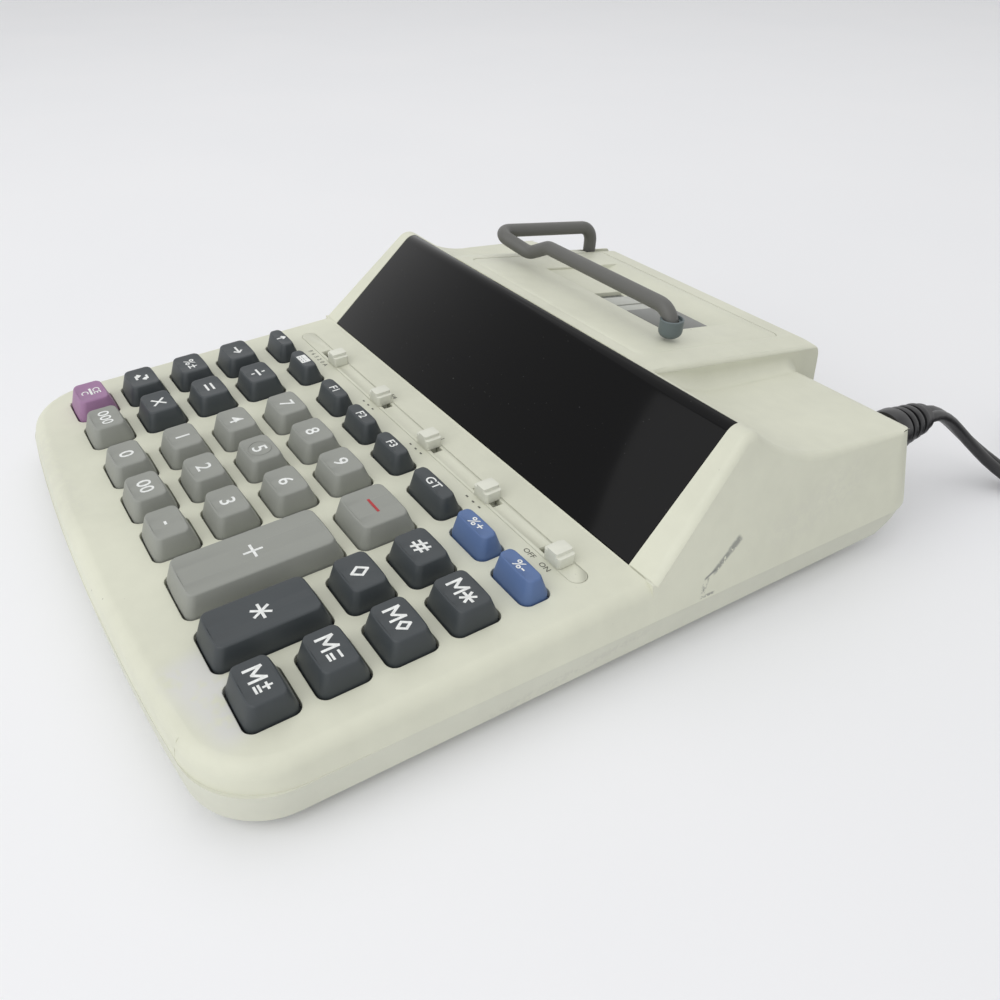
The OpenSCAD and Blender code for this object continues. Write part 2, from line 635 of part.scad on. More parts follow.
module printer_frame() color(STEEL) difference() {
    union() {
        for (x = [frame_left, frame_right - plate_t]) translate([x, 54, frame_z]) cube([plate_t, 34, 24]);
        translate([frame_left, 54, frame_z]) cube([frame_right - frame_left, 34, plate_t]);
        translate([frame_left, 84, frame_z]) cube([frame_right - frame_left, plate_t, 20]);
        translate([frame_left, 79.5, 36]) cube([frame_right - frame_left, 6.5, plate_t]);
    }
    for (c = [[roller_y, roller_z], [ink_y, ink_z]]) translate([frame_left - 5, c[0], c[1]])
        rotate([0, 90, 0]) cylinder(d = shaft_d + 2 * running, h = 100);
    paper_inlet();
}

// A roller on its shaft between the frame's plates
module roller(y, z, d) translate([frame_left, y, z]) rotate([0, 90, 0]) {
    translate([0, 0, -1.2]) cylinder(d = shaft_d, h = frame_right - frame_left + 2.4);
    translate([0, 0, plate_t + 0.6]) cylinder(d = d, h = frame_right - frame_left - 2 * plate_t - 1.2);
}

module feed_roller() color(DARK) roller(roller_y, roller_z, roller_d);

module ink_roller() color(PURPLE) roller(ink_y, ink_z, ink_d);

module display_module() color(DARK) slope_frame() {
    translate([-70, 6, -6]) cube([140, 30, 1.6]);
    translate([-60, 10.5, -4.6]) cube([120, 21, 2]);
}

module main_board() color([0.25, 0.42, 0.28]) deck_frame()
    translate([-board_half, board_front, board_w]) cube([2 * board_half, board_rear - board_front, board_t]);

// Rubber mat: a sheet with one pad under each key, at the height of a pressed dome
module key_mat() color([0.75, 0.74, 0.70]) deck_frame() {
    translate([-board_half, board_front, mat_w]) cube([2 * board_half, strip_y - 7 - board_front, 1]);
    for (k = KEYS) translate([key_at(k)[0], key_at(k)[1], mat_w]) cylinder(d = 6, h = mat_top - mat_w);
}

module case_screws() color(STEEL) screw_places() {
    translate([0, 0, foot_h + 0.6 + head_h - 0.01]) cylinder(d = screw_d, h = parting_z + screw_grip - 0.6 - foot_h - head_h);
    difference() {
        translate([0, 0, foot_h + 0.6]) cylinder(d = head_d, h = head_h);
        for (a = [0, 90]) rotate([0, 0, a]) translate([-2, -0.4, 0]) cube([4, 0.8, foot_h + 1.6]);
    }
}

module rubber_feet() color(BLACK) for (x = [-foot_x, foot_x], y = [foot_front, foot_rear])
    translate([x, y, 0]) cylinder(d = foot_d, h = foot_h + 0.8);

// Strain relief: a flanged neck in the rear wall and a ribbed sleeve outside
module strain_relief() color(BLACK) translate([relief_x, rear_y, relief_z]) rotate([-90, 0, 0]) {
    translate([0, 0, -6]) cylinder(d = relief_d - 3, h = 6);
    translate([0, 0, -2]) cylinder(d = relief_d, h = 5);
    for (i = [0:2]) translate([0, 0, 4.4 + 3.4 * i]) cylinder(d = relief_d - 1.2 - 0.8 * i, h = 2);
    cylinder(d = lead_w + 1.8, h = relief_l);
}

module mains_lead() color(BLACK) flat_tube(LEAD_ROUTE, 10, lead_w, lead_t);

// Coil: spirals in on the table and out again one layer up, then runs straight to the plug
function climb(s) = let (c = min(max(s, 0), 1)) c * c * (3 - 2 * c);
function coil_point(n) = let (a = 360 * n - 90, r = coil_r - coil_step * min(n, coil_turns - n))
    [coil_at[0] + r * cos(a), coil_at[1] + r * sin(a), lead_z + coil_lift * climb(2 * (n - coil_turns / 2) + 0.5)];
COIL_STEPS = round(24 * coil_turns);
COIL_ROUTE = concat(
    [[coil_at[0] - lead_w, coil_at[1] - coil_r, lead_z]],
    [for (i = [0:COIL_STEPS]) coil_point(i * coil_turns / COIL_STEPS)],
    [coil_point(coil_turns) + [0, lead_w, 0], coil_point(coil_turns) + [0, tail_l, 0]]);
function least_gap(p, n, far) = let (m = len(p) / n)
    min([for (i = [0:m - far - 1], j = [i + far:m - 1], a = [0:n - 1], b = [0:n - 1])
        norm(p[i * n + a] - p[j * n + b])]);
module lead_coil() {
    echo("least gap between turns", least_gap(flat_tube_points(COIL_ROUTE, 6, lead_w, lead_t), 6, 12));
    color(BLACK) flat_tube(COIL_ROUTE, 6, lead_w, lead_t);
}

// Two-blade plug that lies on the table
plug_l = 24;
plug_w = 19;
module mains_plug() translate(coil_point(coil_turns) + [0, tail_l, 0]) {
    h = 2 * (lead_z + coil_lift);
    color(BLACK) {
        rotate([-90, 0, 0]) cylinder(d = lead_w + 2, h = 8);
        translate([0, 7, -h / 2]) linear_extrude(h) translate([0, plug_l / 2]) rounded(plug_w, plug_l, 4);
    }
    color(STEEL) for (x = [-6.35, 6.35]) translate([x - 0.75, 7 + plug_l - e, -3.2]) cube([1.5, 16, 6.4]);
}

// Keys and knobs

module key_cap(w, d) {
    tw = w - 2 * key_draw_x;
    td = d - 2 * key_draw_y;
    hull() {
        linear_extrude(0.5) rounded(w, d, 2.2, $fn = 24);
        translate([0, 0, key_h - 0.7]) linear_extrude(0.1) rounded(tw, td, 1.5, $fn = 24);
        translate([0, 0, key_h - 0.1]) linear_extrude(0.1) rounded(tw - 0.8, td - 0.8, 1.2, $fn = 24);
    }
}

// Key: cap above the deck, straight body through its hole, flange that stops it below
module key(k) color(k[5]) deck_frame() translate([key_at(k)[0], key_at(k)[1], 0]) {
    key_cap(k[3], k[4]);
    translate([0, 0, flange_top - flange_t]) linear_extrude(flange_t - flange_top + 0.3) rounded(k[3], k[4], 2.2);
    translate([0, 0, flange_top - flange_t]) linear_extrude(flange_t)
        rounded(k[3] + 2 * flange_rim, k[4] + 2 * flange_rim, 1.5);
}

// Knob: grip with a raised rib, stem through the slot, foot under the deck
module knob(k) color(CREAM) deck_frame() translate([k[1], strip_y, 0]) {
    translate([0, 0, 0.15]) linear_extrude(knob_h - 1) rounded(knob_l, strip_w - 0.4, 0.8);
    translate([0, 0, 0.15]) linear_extrude(knob_h) rounded(knob_l - 2.4, strip_w - 0.4, 0.6);
    translate([-1.75, -stem_w / 2, -wall - 1.4]) cube([3.5, stem_w, wall + 2]);
    translate([-2.75, -2.5, -wall - 1.5]) cube([5.5, 5, 1.2]);
}

upper_case();
lower_case();
display_window();
switch_panel();
printer_cover();
paper_arm();
printer_frame();
feed_roller();
ink_roller();
display_module();
main_board();
key_mat();
case_screws();
rubber_feet();
strain_relief();
mains_lead();
lead_coil();
mains_plug();
for (k = KEYS) key(k);
for (k = KNOBS) knob(k);
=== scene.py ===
"""Looks of a printing calculator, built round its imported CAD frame.

Sizes in the classes are millimetres in the frame of the CAD model: +X right, +Y to the rear, +Z up, table at Z = 0.
Meshes are written in metres.
"""

from __future__ import annotations

import logging
import math
from dataclasses import dataclass, field
from enum import Enum
from typing import Callable, Optional, Sequence, Union

import bmesh
import bpy
from mathutils import Matrix, Vector

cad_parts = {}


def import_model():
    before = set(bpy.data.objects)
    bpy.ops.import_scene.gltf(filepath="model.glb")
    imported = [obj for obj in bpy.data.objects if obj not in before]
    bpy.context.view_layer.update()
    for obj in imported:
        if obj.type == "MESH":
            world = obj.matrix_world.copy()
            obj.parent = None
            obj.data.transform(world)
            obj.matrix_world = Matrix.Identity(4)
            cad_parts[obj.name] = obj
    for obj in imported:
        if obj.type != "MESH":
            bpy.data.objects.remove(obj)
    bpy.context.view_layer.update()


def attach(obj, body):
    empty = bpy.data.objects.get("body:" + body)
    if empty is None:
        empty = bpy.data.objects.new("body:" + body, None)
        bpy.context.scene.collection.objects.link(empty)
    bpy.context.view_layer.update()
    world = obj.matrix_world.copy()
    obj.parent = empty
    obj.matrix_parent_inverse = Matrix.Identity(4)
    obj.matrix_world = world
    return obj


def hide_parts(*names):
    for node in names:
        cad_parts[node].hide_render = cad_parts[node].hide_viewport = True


LOG = logging.getLogger("calculator")
MM = 0.001
SLIVER = 0.05
Colour = tuple[float, float, float]
Point = tuple[float, float, float]


def srgb(red: float, green: float, blue: float) -> Colour:
    """Gives the linear colour of an 8-bit display colour.

    Args:
        red: Red from 0 to 255.
        green: Green from 0 to 255.
        blue: Blue from 0 to 255.

    Returns:
        The three linear values.
    """
    values = [v / 255 for v in (red, green, blue)]
    return tuple(v / 12.92 if v <= 0.04045 else ((v + 0.055) / 1.055) ** 2.4 for v in values)


# Shader maths


class Wire:
    """A shader value that takes part in Python arithmetic."""

    def __init__(self, shader: "Shader", socket: Optional[bpy.types.NodeSocket]) -> None:
        """Wraps one output socket of a shader's node."""
        self.shader = shader
        self.socket = socket

    def _maths(self, operation: str, left: "Value", right: "Value") -> "Wire":
        """Adds one Math node."""
        return self.shader.node("ShaderNodeMath", {"operation": operation}, {0: left, 1: right})

    def __add__(self, other: "Value") -> "Wire":
        """Adds."""
        return self._maths("ADD", self, other)

    def __radd__(self, other: "Value") -> "Wire":
        """Adds to a number."""
        return self._maths("ADD", other, self)

    def __sub__(self, other: "Value") -> "Wire":
        """Subtracts."""
        return self._maths("SUBTRACT", self, other)

    def __rsub__(self, other: "Value") -> "Wire":
        """Subtracts from a number."""
        return self._maths("SUBTRACT", other, self)

    def __mul__(self, other: "Value") -> "Wire":
        """Multiplies."""
        return self._maths("MULTIPLY", self, other)

    def __rmul__(self, other: "Value") -> "Wire":
        """Multiplies a number."""
        return self._maths("MULTIPLY", other, self)

    def __truediv__(self, other: "Value") -> "Wire":
        """Divides."""
        return self._maths("DIVIDE", self, other)

    def __abs__(self) -> "Wire":
        """Takes the absolute value."""
        return self._maths("ABSOLUTE", self, 0.0)

    def step(self, low: float, high: float) -> "Wire":
        """Rises smoothly from 0 at low to 1 at high, or falls where low is above high.

        Args:
            low: Value that gives 0.
            high: Value that gives 1.

        Returns:
            The smooth step.
        """
        return self.shader.node(
            "ShaderNodeMapRange",
            {"interpolation_type": "SMOOTHSTEP", "clamp": True},
            {"Value": self, "From Min": low, "From Max": high, "To Min": 0.0, "To Max": 1.0},
        )


Value = Union[Wire, float, Sequence[float]]


class Shader:
    """A material under construction."""

    def __init__(self, name: str) -> None:
        """Starts an empty node material."""
        self.material = bpy.data.materials.new(name)
        self.material.use_nodes = True
        self.tree = self.material.node_tree
        self.tree.nodes.clear()
        self.place = self.node("ShaderNodeTexCoord", output="Object")

    def node(
        self,
        kind: str,
        settings: Optional[dict] = None,
        inputs: Optional[dict] = None,
        output: Union[int, str] = 0,
    ) -> Wire:
        """Adds a node of any kind.

        Args:
            kind: The node's type.
            settings: Its properties, and for a ramp its stops.
            inputs: Values or wires by socket name or number.
            output: The output that the wire takes.

        Returns:
            A wire from that output.
        """
        made = self.tree.nodes.new(kind)
        for key, value in (settings or {}).items():
            setattr(made, key, value)
        for key, value in (inputs or {}).items():
            socket = made.inputs[key]
            if isinstance(value, Wire):
                self.tree.links.new(value.socket, socket)
            elif isinstance(value, (tuple, list)) and socket.type == "RGBA":
                socket.default_value = (*value[:3], 1.0)
            else:
                socket.default_value = value
        return Wire(self, made.outputs[output] if made.outputs else None)

    def noise(self, size_mm: float, detail: float = 2.0, stretch: Point = (1, 1, 1), roughness: float = 0.5) -> Wire:
        """Noise on Object coordinates.

        Args:
            size_mm: Size of a grain.
            detail: Octaves.
            stretch: Scale along X, Y and Z.
            roughness: Weight of the finer octaves.

        Returns:
            Noise from 0 to 1.
        """
        vector = self.place
        if stretch != (1, 1, 1):
            vector = self.node("ShaderNodeMapping", {}, {"Vector": self.place, "Scale": stretch})
        return self.node(
            "ShaderNodeTexNoise",
            {"noise_dimensions": "3D"},
            {"Vector": vector, "Scale": 1000 / size_mm, "Detail": detail, "Roughness": roughness},
        )

    def mix(self, share: Value, first: Value, second: Value) -> Wire:
        """Mixes two colours.

        Args:
            share: 0 for the first, 1 for the second.
            first: A colour.
            second: A colour.

        Returns:
            The mixed colour.
        """
        return self.node("ShaderNodeMix", {"data_type": "RGBA"}, {0: share, 6: first, 7: second}, output=2)

    def bump(self, height: Wire, depth_mm: float, strength: float = 1.0, under: Optional[Wire] = None) -> Wire:
        """Bump from a height.

        Args:
            height: Height from 0 to 1.
            depth_mm: Depth of the whole height.
            strength: Share of the bump.
            under: A bump below this one.

        Returns:
            The normal.
        """
        inputs = {"Height": height, "Distance": depth_mm * MM, "Strength": strength}
        if under is not None:
            inputs["Normal"] = under
        return self.node("ShaderNodeBump", {}, inputs)

    def near(self, centre: Point, direction: Point, length: float, width: float) -> Wire:
        """A soft streak in space.

        Args:
            centre: Its middle.
            direction: The way it runs.
            length: Half its length.
            width: Half its width.

        Returns:
            1 in the streak and 0 away from it.
        """
        unit = Vector(direction).normalized()
        offset = self.node(
            "ShaderNodeVectorMath", {"operation": "SUBTRACT"}, {0: self.place, 1: tuple(c * MM for c in centre)}
        )
        along = self.node("ShaderNodeVectorMath", {"operation": "DOT_PRODUCT"}, {0: offset, 1: tuple(unit)}, "Value")
        size = self.node("ShaderNodeVectorMath", {"operation": "DOT_PRODUCT"}, {0: offset, 1: offset}, "Value")
        across = self._root(size - along * along)
        return abs(along).step(length * MM, 0.6 * length * MM) * across.step(width * MM, 0.3 * width * MM)

    def _root(self, value: Wire) -> Wire:
        """Square root of a wire that is not below zero."""
        return self.node("ShaderNodeMath", {"operation": "SQRT"}, {0: self.node(
            "ShaderNodeMath", {"operation": "MAXIMUM"}, {0: value, 1: 0.0})})

    def surface(self, **inputs: Value) -> bpy.types.Material:
        """Closes the material with a Principled shader.

        Args:
            **inputs: Its sockets, with underscores for spaces.

        Returns:
            The material.
        """
        named = {key.replace("_", " "): value for key, value in inputs.items()}
        shader = self.node("ShaderNodeBsdfPrincipled", {}, named)
        self.node("ShaderNodeOutputMaterial", {}, {"Surface": shader})
        return self.material


# Finishes


@dataclass(frozen=True)
class ScuffAndShade:
    """A painted patch on the case: most are rubbed or stained places, one is a painted shade line in the crease beside
    the window.
    """

    centre: Point
    direction: Point
    length: float
    width: float
    colour: Colour
    grain: float
    share: float = 0.8
    solid: float = 0.0


@dataclass(frozen=True)
class Moulding:
    """Satin moulded plastic with a fine eroded grain."""

    name: str
    colour: Colour
    roughness: float = 0.48
    grain_mm: float = 0.45
    grain_depth: float = 0.02
    mottle: float = 0.05
    specular: float = 0.4

    def colours(self, shader: Shader) -> Wire:
        """Base colour with a slow drift and fine flecks.

        Args:
            shader: The material under construction.

        Returns:
            The colour.
        """
        drift = shader.noise(34, 2) * 0.7 + shader.noise(5, 3) * 0.3
        darker = tuple(c * (1 - 2 * self.mottle) for c in self.colour)
        return shader.mix(drift.step(0.25, 0.75), darker, self.colour)

    def material(self) -> bpy.types.Material:
        """Builds the material."""
        shader = Shader(self.name)
        grain = shader.noise(self.grain_mm, 2)
        slow = shader.noise(9, 2)
        return shader.surface(
            Base_Color=self.colours(shader),
            Roughness=(self.roughness - 0.05) + slow * 0.1,
            Normal=shader.bump(grain, self.grain_depth, 0.5),
            Specular_IOR_Level=self.specular,
        )


@dataclass(frozen=True)
class WornAndShadedMoulding(Moulding):
    """Case plastic with stains, rubbed places, dark specks and a painted shade line in one crease."""

    scuffs_and_shade: tuple[ScuffAndShade, ...] = ()
    speck: Colour = (0.25, 0.24, 0.2)

    def colours(self, shader: Shader) -> Wire:
        """Base colour with its rubbed and stained places, a painted shade line in one crease and a few dark specks.

        Args:
            shader: The material under construction.

        Returns:
            The colour.
        """
        colour = Moulding.colours(self, shader)
        specks = shader.noise(1.6, 1).step(0.795, 0.83) * shader.noise(45, 1).step(0.5, 0.62)
        colour = shader.mix(specks * 0.6, colour, self.speck)
        for patch in self.scuffs_and_shade:
            spot = shader.near(patch.centre, patch.direction, patch.length, patch.width)
            broken = shader.noise(patch.grain, 3, roughness=0.7).step(0.42 - patch.solid, 0.56 - patch.solid)
            colour = shader.mix(spot * broken * patch.share, colour, patch.colour)
        return colour


@dataclass(frozen=True)
class Gloss:
    """Polished dark acrylic."""

    name: str
    colour: Colour
    roughness: float = 0.06
    specular: float = 0.1

    def material(self) -> bpy.types.Material:
        """Builds the material."""
        shader = Shader(self.name)
        haze = shader.noise(22, 4, (1, 2.2, 2.2))
        dust = shader.noise(0.9, 1).step(0.77, 0.8)
        colour = shader.mix(dust * 0.06, self.colour, (0.5, 0.5, 0.5))
        return shader.surface(
            Base_Color=colour, Roughness=self.roughness + haze * 0.05 + dust * 0.15,
            Specular_IOR_Level=self.specular,
        )


@dataclass(frozen=True)
class PrintAndShade:
    """Printed or moulded-in marks, and the painted shade line in the switch strip's joint."""

    name: str
    colour: Colour
    roughness: float = 0.5

    def material(self) -> bpy.types.Material:
        """Builds the material."""
        shader = Shader(self.name)
        worn = shader.noise(1.1, 3)
        darker = tuple(c * 0.82 for c in self.colour)
        return shader.surface(
            Base_Color=shader.mix(worn.step(0.3, 0.7), darker, self.colour), Roughness=self.roughness + worn * 0.1
        )


@dataclass(frozen=True)
class Rubber:
    """Soft black plastic or rubber."""

    name: str
    colour: Colour
    roughness: float = 0.42

    def material(self) -> bpy.types.Material:
        """Builds the material."""
        shader = Shader(self.name)
        skin = shader.noise(0.7, 3)
        dust = shader.noise(12, 4).step(0.45, 0.8)
        paler = tuple(min(1.0, c * 2.2 + 0.01) for c in self.colour)
        return shader.surface(
            Base_Color=shader.mix(dust * 0.35, self.colour, paler),
            Roughness=self.roughness + dust * 0.12,
            Normal=shader.bump(skin, 0.02, 0.35),
        )


@dataclass(frozen=True)
class Steel:
    """Bare sheet steel with a drawn grain."""

    name: str
    colour: Colour
    roughness: float = 0.34

    def material(self) -> bpy.types.Material:
        """Builds the material."""
        shader = Shader(self.name)
        drawn = shader.noise(2.0, 3, (0.06, 1, 1))
        darker = tuple(c * 0.8 for c in self.colour)
        return shader.surface(
            Base_Color=shader.mix(drawn, darker, self.colour), Metallic=1.0, Roughness=self.roughness + drawn * 0.12
        )


class Paint:
    """The finishes of the calculator, each made once."""

    CREAM = srgb(219, 220, 202)

    def __init__(self) -> None:
        """Builds every material."""
        side_mark = srgb(118, 120, 118)
        self.case = WornAndShadedMoulding(
            "case_cream",
            self.CREAM,
            scuffs_and_shade=(
                ScuffAndShade((89.8, 31.3, 25.4), (-0.5, 2.8, 2.1), 2.8, 1.5, side_mark, 1.3, 0.75, 0.1),
                ScuffAndShade((90.6, 26.8, 22.0), (-0.6, 3.7, 2.7), 4.4, 1.2, side_mark, 1.5, 0.75, 0.08),
                ScuffAndShade((91.1, 22.9, 19.9), (-0.3, 3.0, 1.2), 2.4, 0.5, side_mark, 1.2, 0.8, 0.16),
                ScuffAndShade((91.6, 21.1, 17.4), (-0.5, 1.0, 2.2), 2.6, 1.1, side_mark, 1.1, 0.7),
                ScuffAndShade((92.35, 22.0, 14.4), (0, 1, 0), 2.8, 0.6, side_mark, 1.1, 0.7, 0.02),
                # Painted shade: a dark line in the inside crease where the cheek meets the deck at the window's lower
                # corner.
                ScuffAndShade((84.6, 4.15, 24.0), (1, 0, 0), 3.6, 0.32, srgb(150, 150, 128), 3.0, 0.75, 0.3),
                ScuffAndShade((66, -99, 20), (1, 0.25, 0), 17, 9, srgb(212, 212, 211), 11.0, 0.75, 0.06),
                ScuffAndShade((80, -103, 18.5), (0.8, 0.5, 0), 6, 0.6, srgb(150, 150, 140), 1.2, 0.7, 0.06),
                ScuffAndShade((89.2, 62, 26), (0, 1, 0.3), 22, 9, srgb(206, 206, 192), 2.4, 0.4),
                ScuffAndShade((-40, -108, 17), (1, 0, 0), 30, 5, srgb(205, 205, 192), 2.4, 0.5),
            ),
        ).material()
        self.tray = WornAndShadedMoulding(
            "tray_cream",
            srgb(214, 215, 200),
            scuffs_and_shade=(ScuffAndShade((91, -20, 8), (0, 1, 0.1), 30, 2.2, srgb(196, 196, 184), 2.0, 0.5),),
        ).material()
        self.knob = Moulding("knob_cream", srgb(226, 227, 214), 0.42, grain_mm=0.3).material()
        self.light = Moulding("key_light_grey", srgb(146, 148, 142), 0.5, mottle=0.03).material()
        self.dark = Moulding("key_dark_grey", srgb(61, 66, 69), 0.46, mottle=0.04).material()
        self.purple = Moulding("key_purple", srgb(156, 118, 154), 0.5, mottle=0.04).material()
        self.blue = Moulding("key_blue", srgb(88, 112, 156), 0.5, mottle=0.04).material()
        self.arm = Moulding("arm_grey", srgb(97, 97, 94), 0.46, grain_mm=0.6, grain_depth=0.03).material()
        self.cap = Moulding("cap_slate", srgb(100, 110, 112), 0.44, grain_mm=0.4).material()
        self.bar = Moulding("tear_bar", srgb(112, 114, 110), 0.36, grain_mm=0.4).material()
        self.wheel = Moulding("wheel_pale", srgb(186, 188, 180), 0.4, grain_mm=0.4).material()
        self.window = Gloss("window_black", srgb(12, 12, 13)).material()
        self.white = PrintAndShade("legend_white", srgb(240, 242, 240)).material()
        self.red = PrintAndShade("legend_red", srgb(178, 42, 48)).material()
        self.ink = PrintAndShade("deck_ink", srgb(92, 92, 84), 0.55).material()
        # Painted shade: the dark line in the joint round the switch strip, standing in for the gap's shadow.
        self.joint_shade = PrintAndShade("strip_line", srgb(96, 95, 84), 0.6).material()
        self.lead = Rubber("lead_black", srgb(22, 22, 24), 0.34).material()
        self.rubber = Rubber("roller_black", srgb(38, 38, 38), 0.6).material()
        self.feet = Rubber("feet_black", srgb(30, 30, 31), 0.7).material()
        self.ink_pad = Rubber("ink_purple", srgb(84, 52, 92), 0.5).material()
        self.mat = Rubber("mat_pale", srgb(190, 188, 180), 0.6).material()
        self.board = Moulding("board_green", srgb(70, 110, 78), 0.4, mottle=0.1).material()
        self.module = Moulding("module_dark", srgb(40, 42, 42), 0.5).material()
        self.steel = Steel("frame_steel", srgb(186, 188, 190)).material()


# Mesh building


@dataclass(frozen=True)
class Plane:
    """A frame turned about X: x runs right, t along the plane to the rear, u square to it."""

    y: float
    z: float
    angle: float

    def matrix(self) -> Matrix:
        """Matrix from the plane's millimetres to the model's metres."""
        turn = Matrix.Rotation(math.radians(self.angle), 4, "X")
        return Matrix.Scale(MM, 4) @ Matrix.Translation((0, self.y, self.z)) @ turn


DECK = Plane(0, 23.7, 2)
HUMP = Plane(37.093, 52.912, -8.75)
SLOPE = Plane(3.8976, 23.836, 44)


class Form:
    """A mesh under construction, in millimetres."""

    def __init__(self, mesh: Optional[bpy.types.Mesh] = None) -> None:
        """Starts empty, or from a copy of a mesh in metres."""
        self.bm = bmesh.new()
        if mesh is not None:
            self.bm.from_mesh(mesh)
            self.turn(Matrix.Scale(1 / MM, 4))

    @classmethod
    def of_node(cls, node: str, merge: float = 0.004) -> "Form":
        """Copies a CAD node with its loose triangles merged.

        Args:
            node: Name of the node.
            merge: Distance under which points become one.

        Returns:
            The copy.
        """
        form = cls(bpy.data.objects[node].data)
        bmesh.ops.remove_doubles(form.bm, verts=form.bm.verts, dist=merge)
        bmesh.ops.dissolve_degenerate(form.bm, edges=form.bm.edges, dist=merge)
        for face in form.bm.faces:
            face.material_index = 0
        return form

    def turn(self, matrix: Matrix) -> "Form":
        """Moves the whole form by a matrix."""
        bmesh.ops.transform(self.bm, matrix=matrix, verts=self.bm.verts)
        return self

    def flatten(self, degrees: float = 1.5) -> "Form":
        """Joins triangles that lie in one plane."""
        bmesh.ops.dissolve_limit(
            self.bm, angle_limit=math.radians(degrees), verts=self.bm.verts, edges=self.bm.edges,
            delimit={"NORMAL"},
        )
        return self

    def soften(
        self,
        width: float,
        over: float = 30.0,
        segments: int = 2,
        where: Optional[Callable[[bmesh.types.BMEdge], bool]] = None,
        clamp: bool = True,
    ) -> "Form":
        """Rounds the sharp edges.

        Args:
            width: Width of the rounding.
            over: Angle in degrees above which an edge is sharp.
            segments: Steps across the rounding.
            where: Test that picks some of the edges.
            clamp: Whether the rounding stops where two of them meet.

        Returns:
            The form.
        """
        self.bm.normal_update()
        limit = math.radians(over)
        edges = [
            e for e in self.bm.edges
            if len(e.link_faces) == 2 and e.calc_face_angle(0.0) > limit and (where is None or where(e))
        ]
        if edges:
            bmesh.ops.bevel(
                self.bm, geom=edges, offset=width, offset_type="OFFSET", affect="EDGES", segments=segments,
                profile=0.5, material=-1, clamp_overlap=clamp, loop_slide=True,
            )
        LOG.debug("%d edges rounded", len(edges))
        return self

    def weigh(self, over: float, share: Callable[[bmesh.types.BMEdge], float]) -> "Form":
        """Marks sharp edges for a rounding that a modifier makes.

        Args:
            over: Angle in degrees above which an edge is sharp.
            share: Share of the full width for an edge.

        Returns:
            The form.
        """
        self.bm.normal_update()
        layer = self.bm.edges.layers.float.new("bevel_weight_edge")
        for edge in self.bm.edges:
            if len(edge.link_faces) == 2 and edge.calc_face_angle(0.0) > math.radians(over):
                edge[layer] = share(edge)
        return self

    def add(self, other: "Form", material: int = 0) -> "Form":
        """Takes in another form, with a material number of its own.

        Args:
            other: The form, which is used up.
            material: Number of the material slot.

        Returns:
            This form.
        """
        for face in other.bm.faces:
            face.material_index = material
        mesh = bpy.data.meshes.new("part")
        other.bm.to_mesh(mesh)
        other.bm.free()
        self.bm.from_mesh(mesh)
        bpy.data.meshes.remove(mesh)
        return self

    def piece(
        self,
        name: str,
        materials: Sequence[bpy.types.Material],
        body: str,
        node: Optional[str] = None,
        slot: Optional[str] = None,
        sharp: float = 35.0,
        weighted: bool = False,
        rounding: Optional[tuple[float, int]] = None,
    ) -> bpy.types.Object:
        """Writes the form to an object that rides on a body.

        Args:
            name: Name of the piece.
            materials: Its material slots.
            body: The CAD body that it moves with.
            node: The CAD node that it stands for.
            slot: The record's material slot; not used.
            sharp: Angle in degrees above which an edge shades sharp.
            weighted: Whether large faces keep their own normal.
            rounding: Width and steps of the rounding on edges that were weighed.

        Returns:
            The object.
        """
        self.bm.normal_update()
        for face in self.bm.faces:
            face.smooth = True
        for edge in self.bm.edges:
            sliver = min((f.calc_area() for f in edge.link_faces), default=0.0) < SLIVER
            edge.smooth = sliver or edge.calc_face_angle(0.0) <= math.radians(sharp)
        self.turn(Matrix.Scale(MM, 4))
        mesh = bpy.data.meshes.new(name)
        self.bm.to_mesh(mesh)
        self.bm.free()
        for material in materials:
            mesh.materials.append(material)
        made = bpy.data.objects.new(name, mesh)
        bpy.context.scene.collection.objects.link(made)
        if rounding is not None:
            modifier = made.modifiers.new("rounding", "BEVEL")
            modifier.limit_method = "WEIGHT"
            modifier.width, modifier.segments = rounding[0] * MM, rounding[1]
            modifier.use_clamp_overlap = False
            modifier.harden_normals = False
        if weighted:
            modifier = made.modifiers.new("face_weight", "WEIGHTED_NORMAL")
            modifier.keep_sharp = True
            modifier.weight = 50
        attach(made, body)
        if node is not None:
            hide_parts(node)
        LOG.info("%s: %d faces on %s", name, len(mesh.polygons), body)
        return made


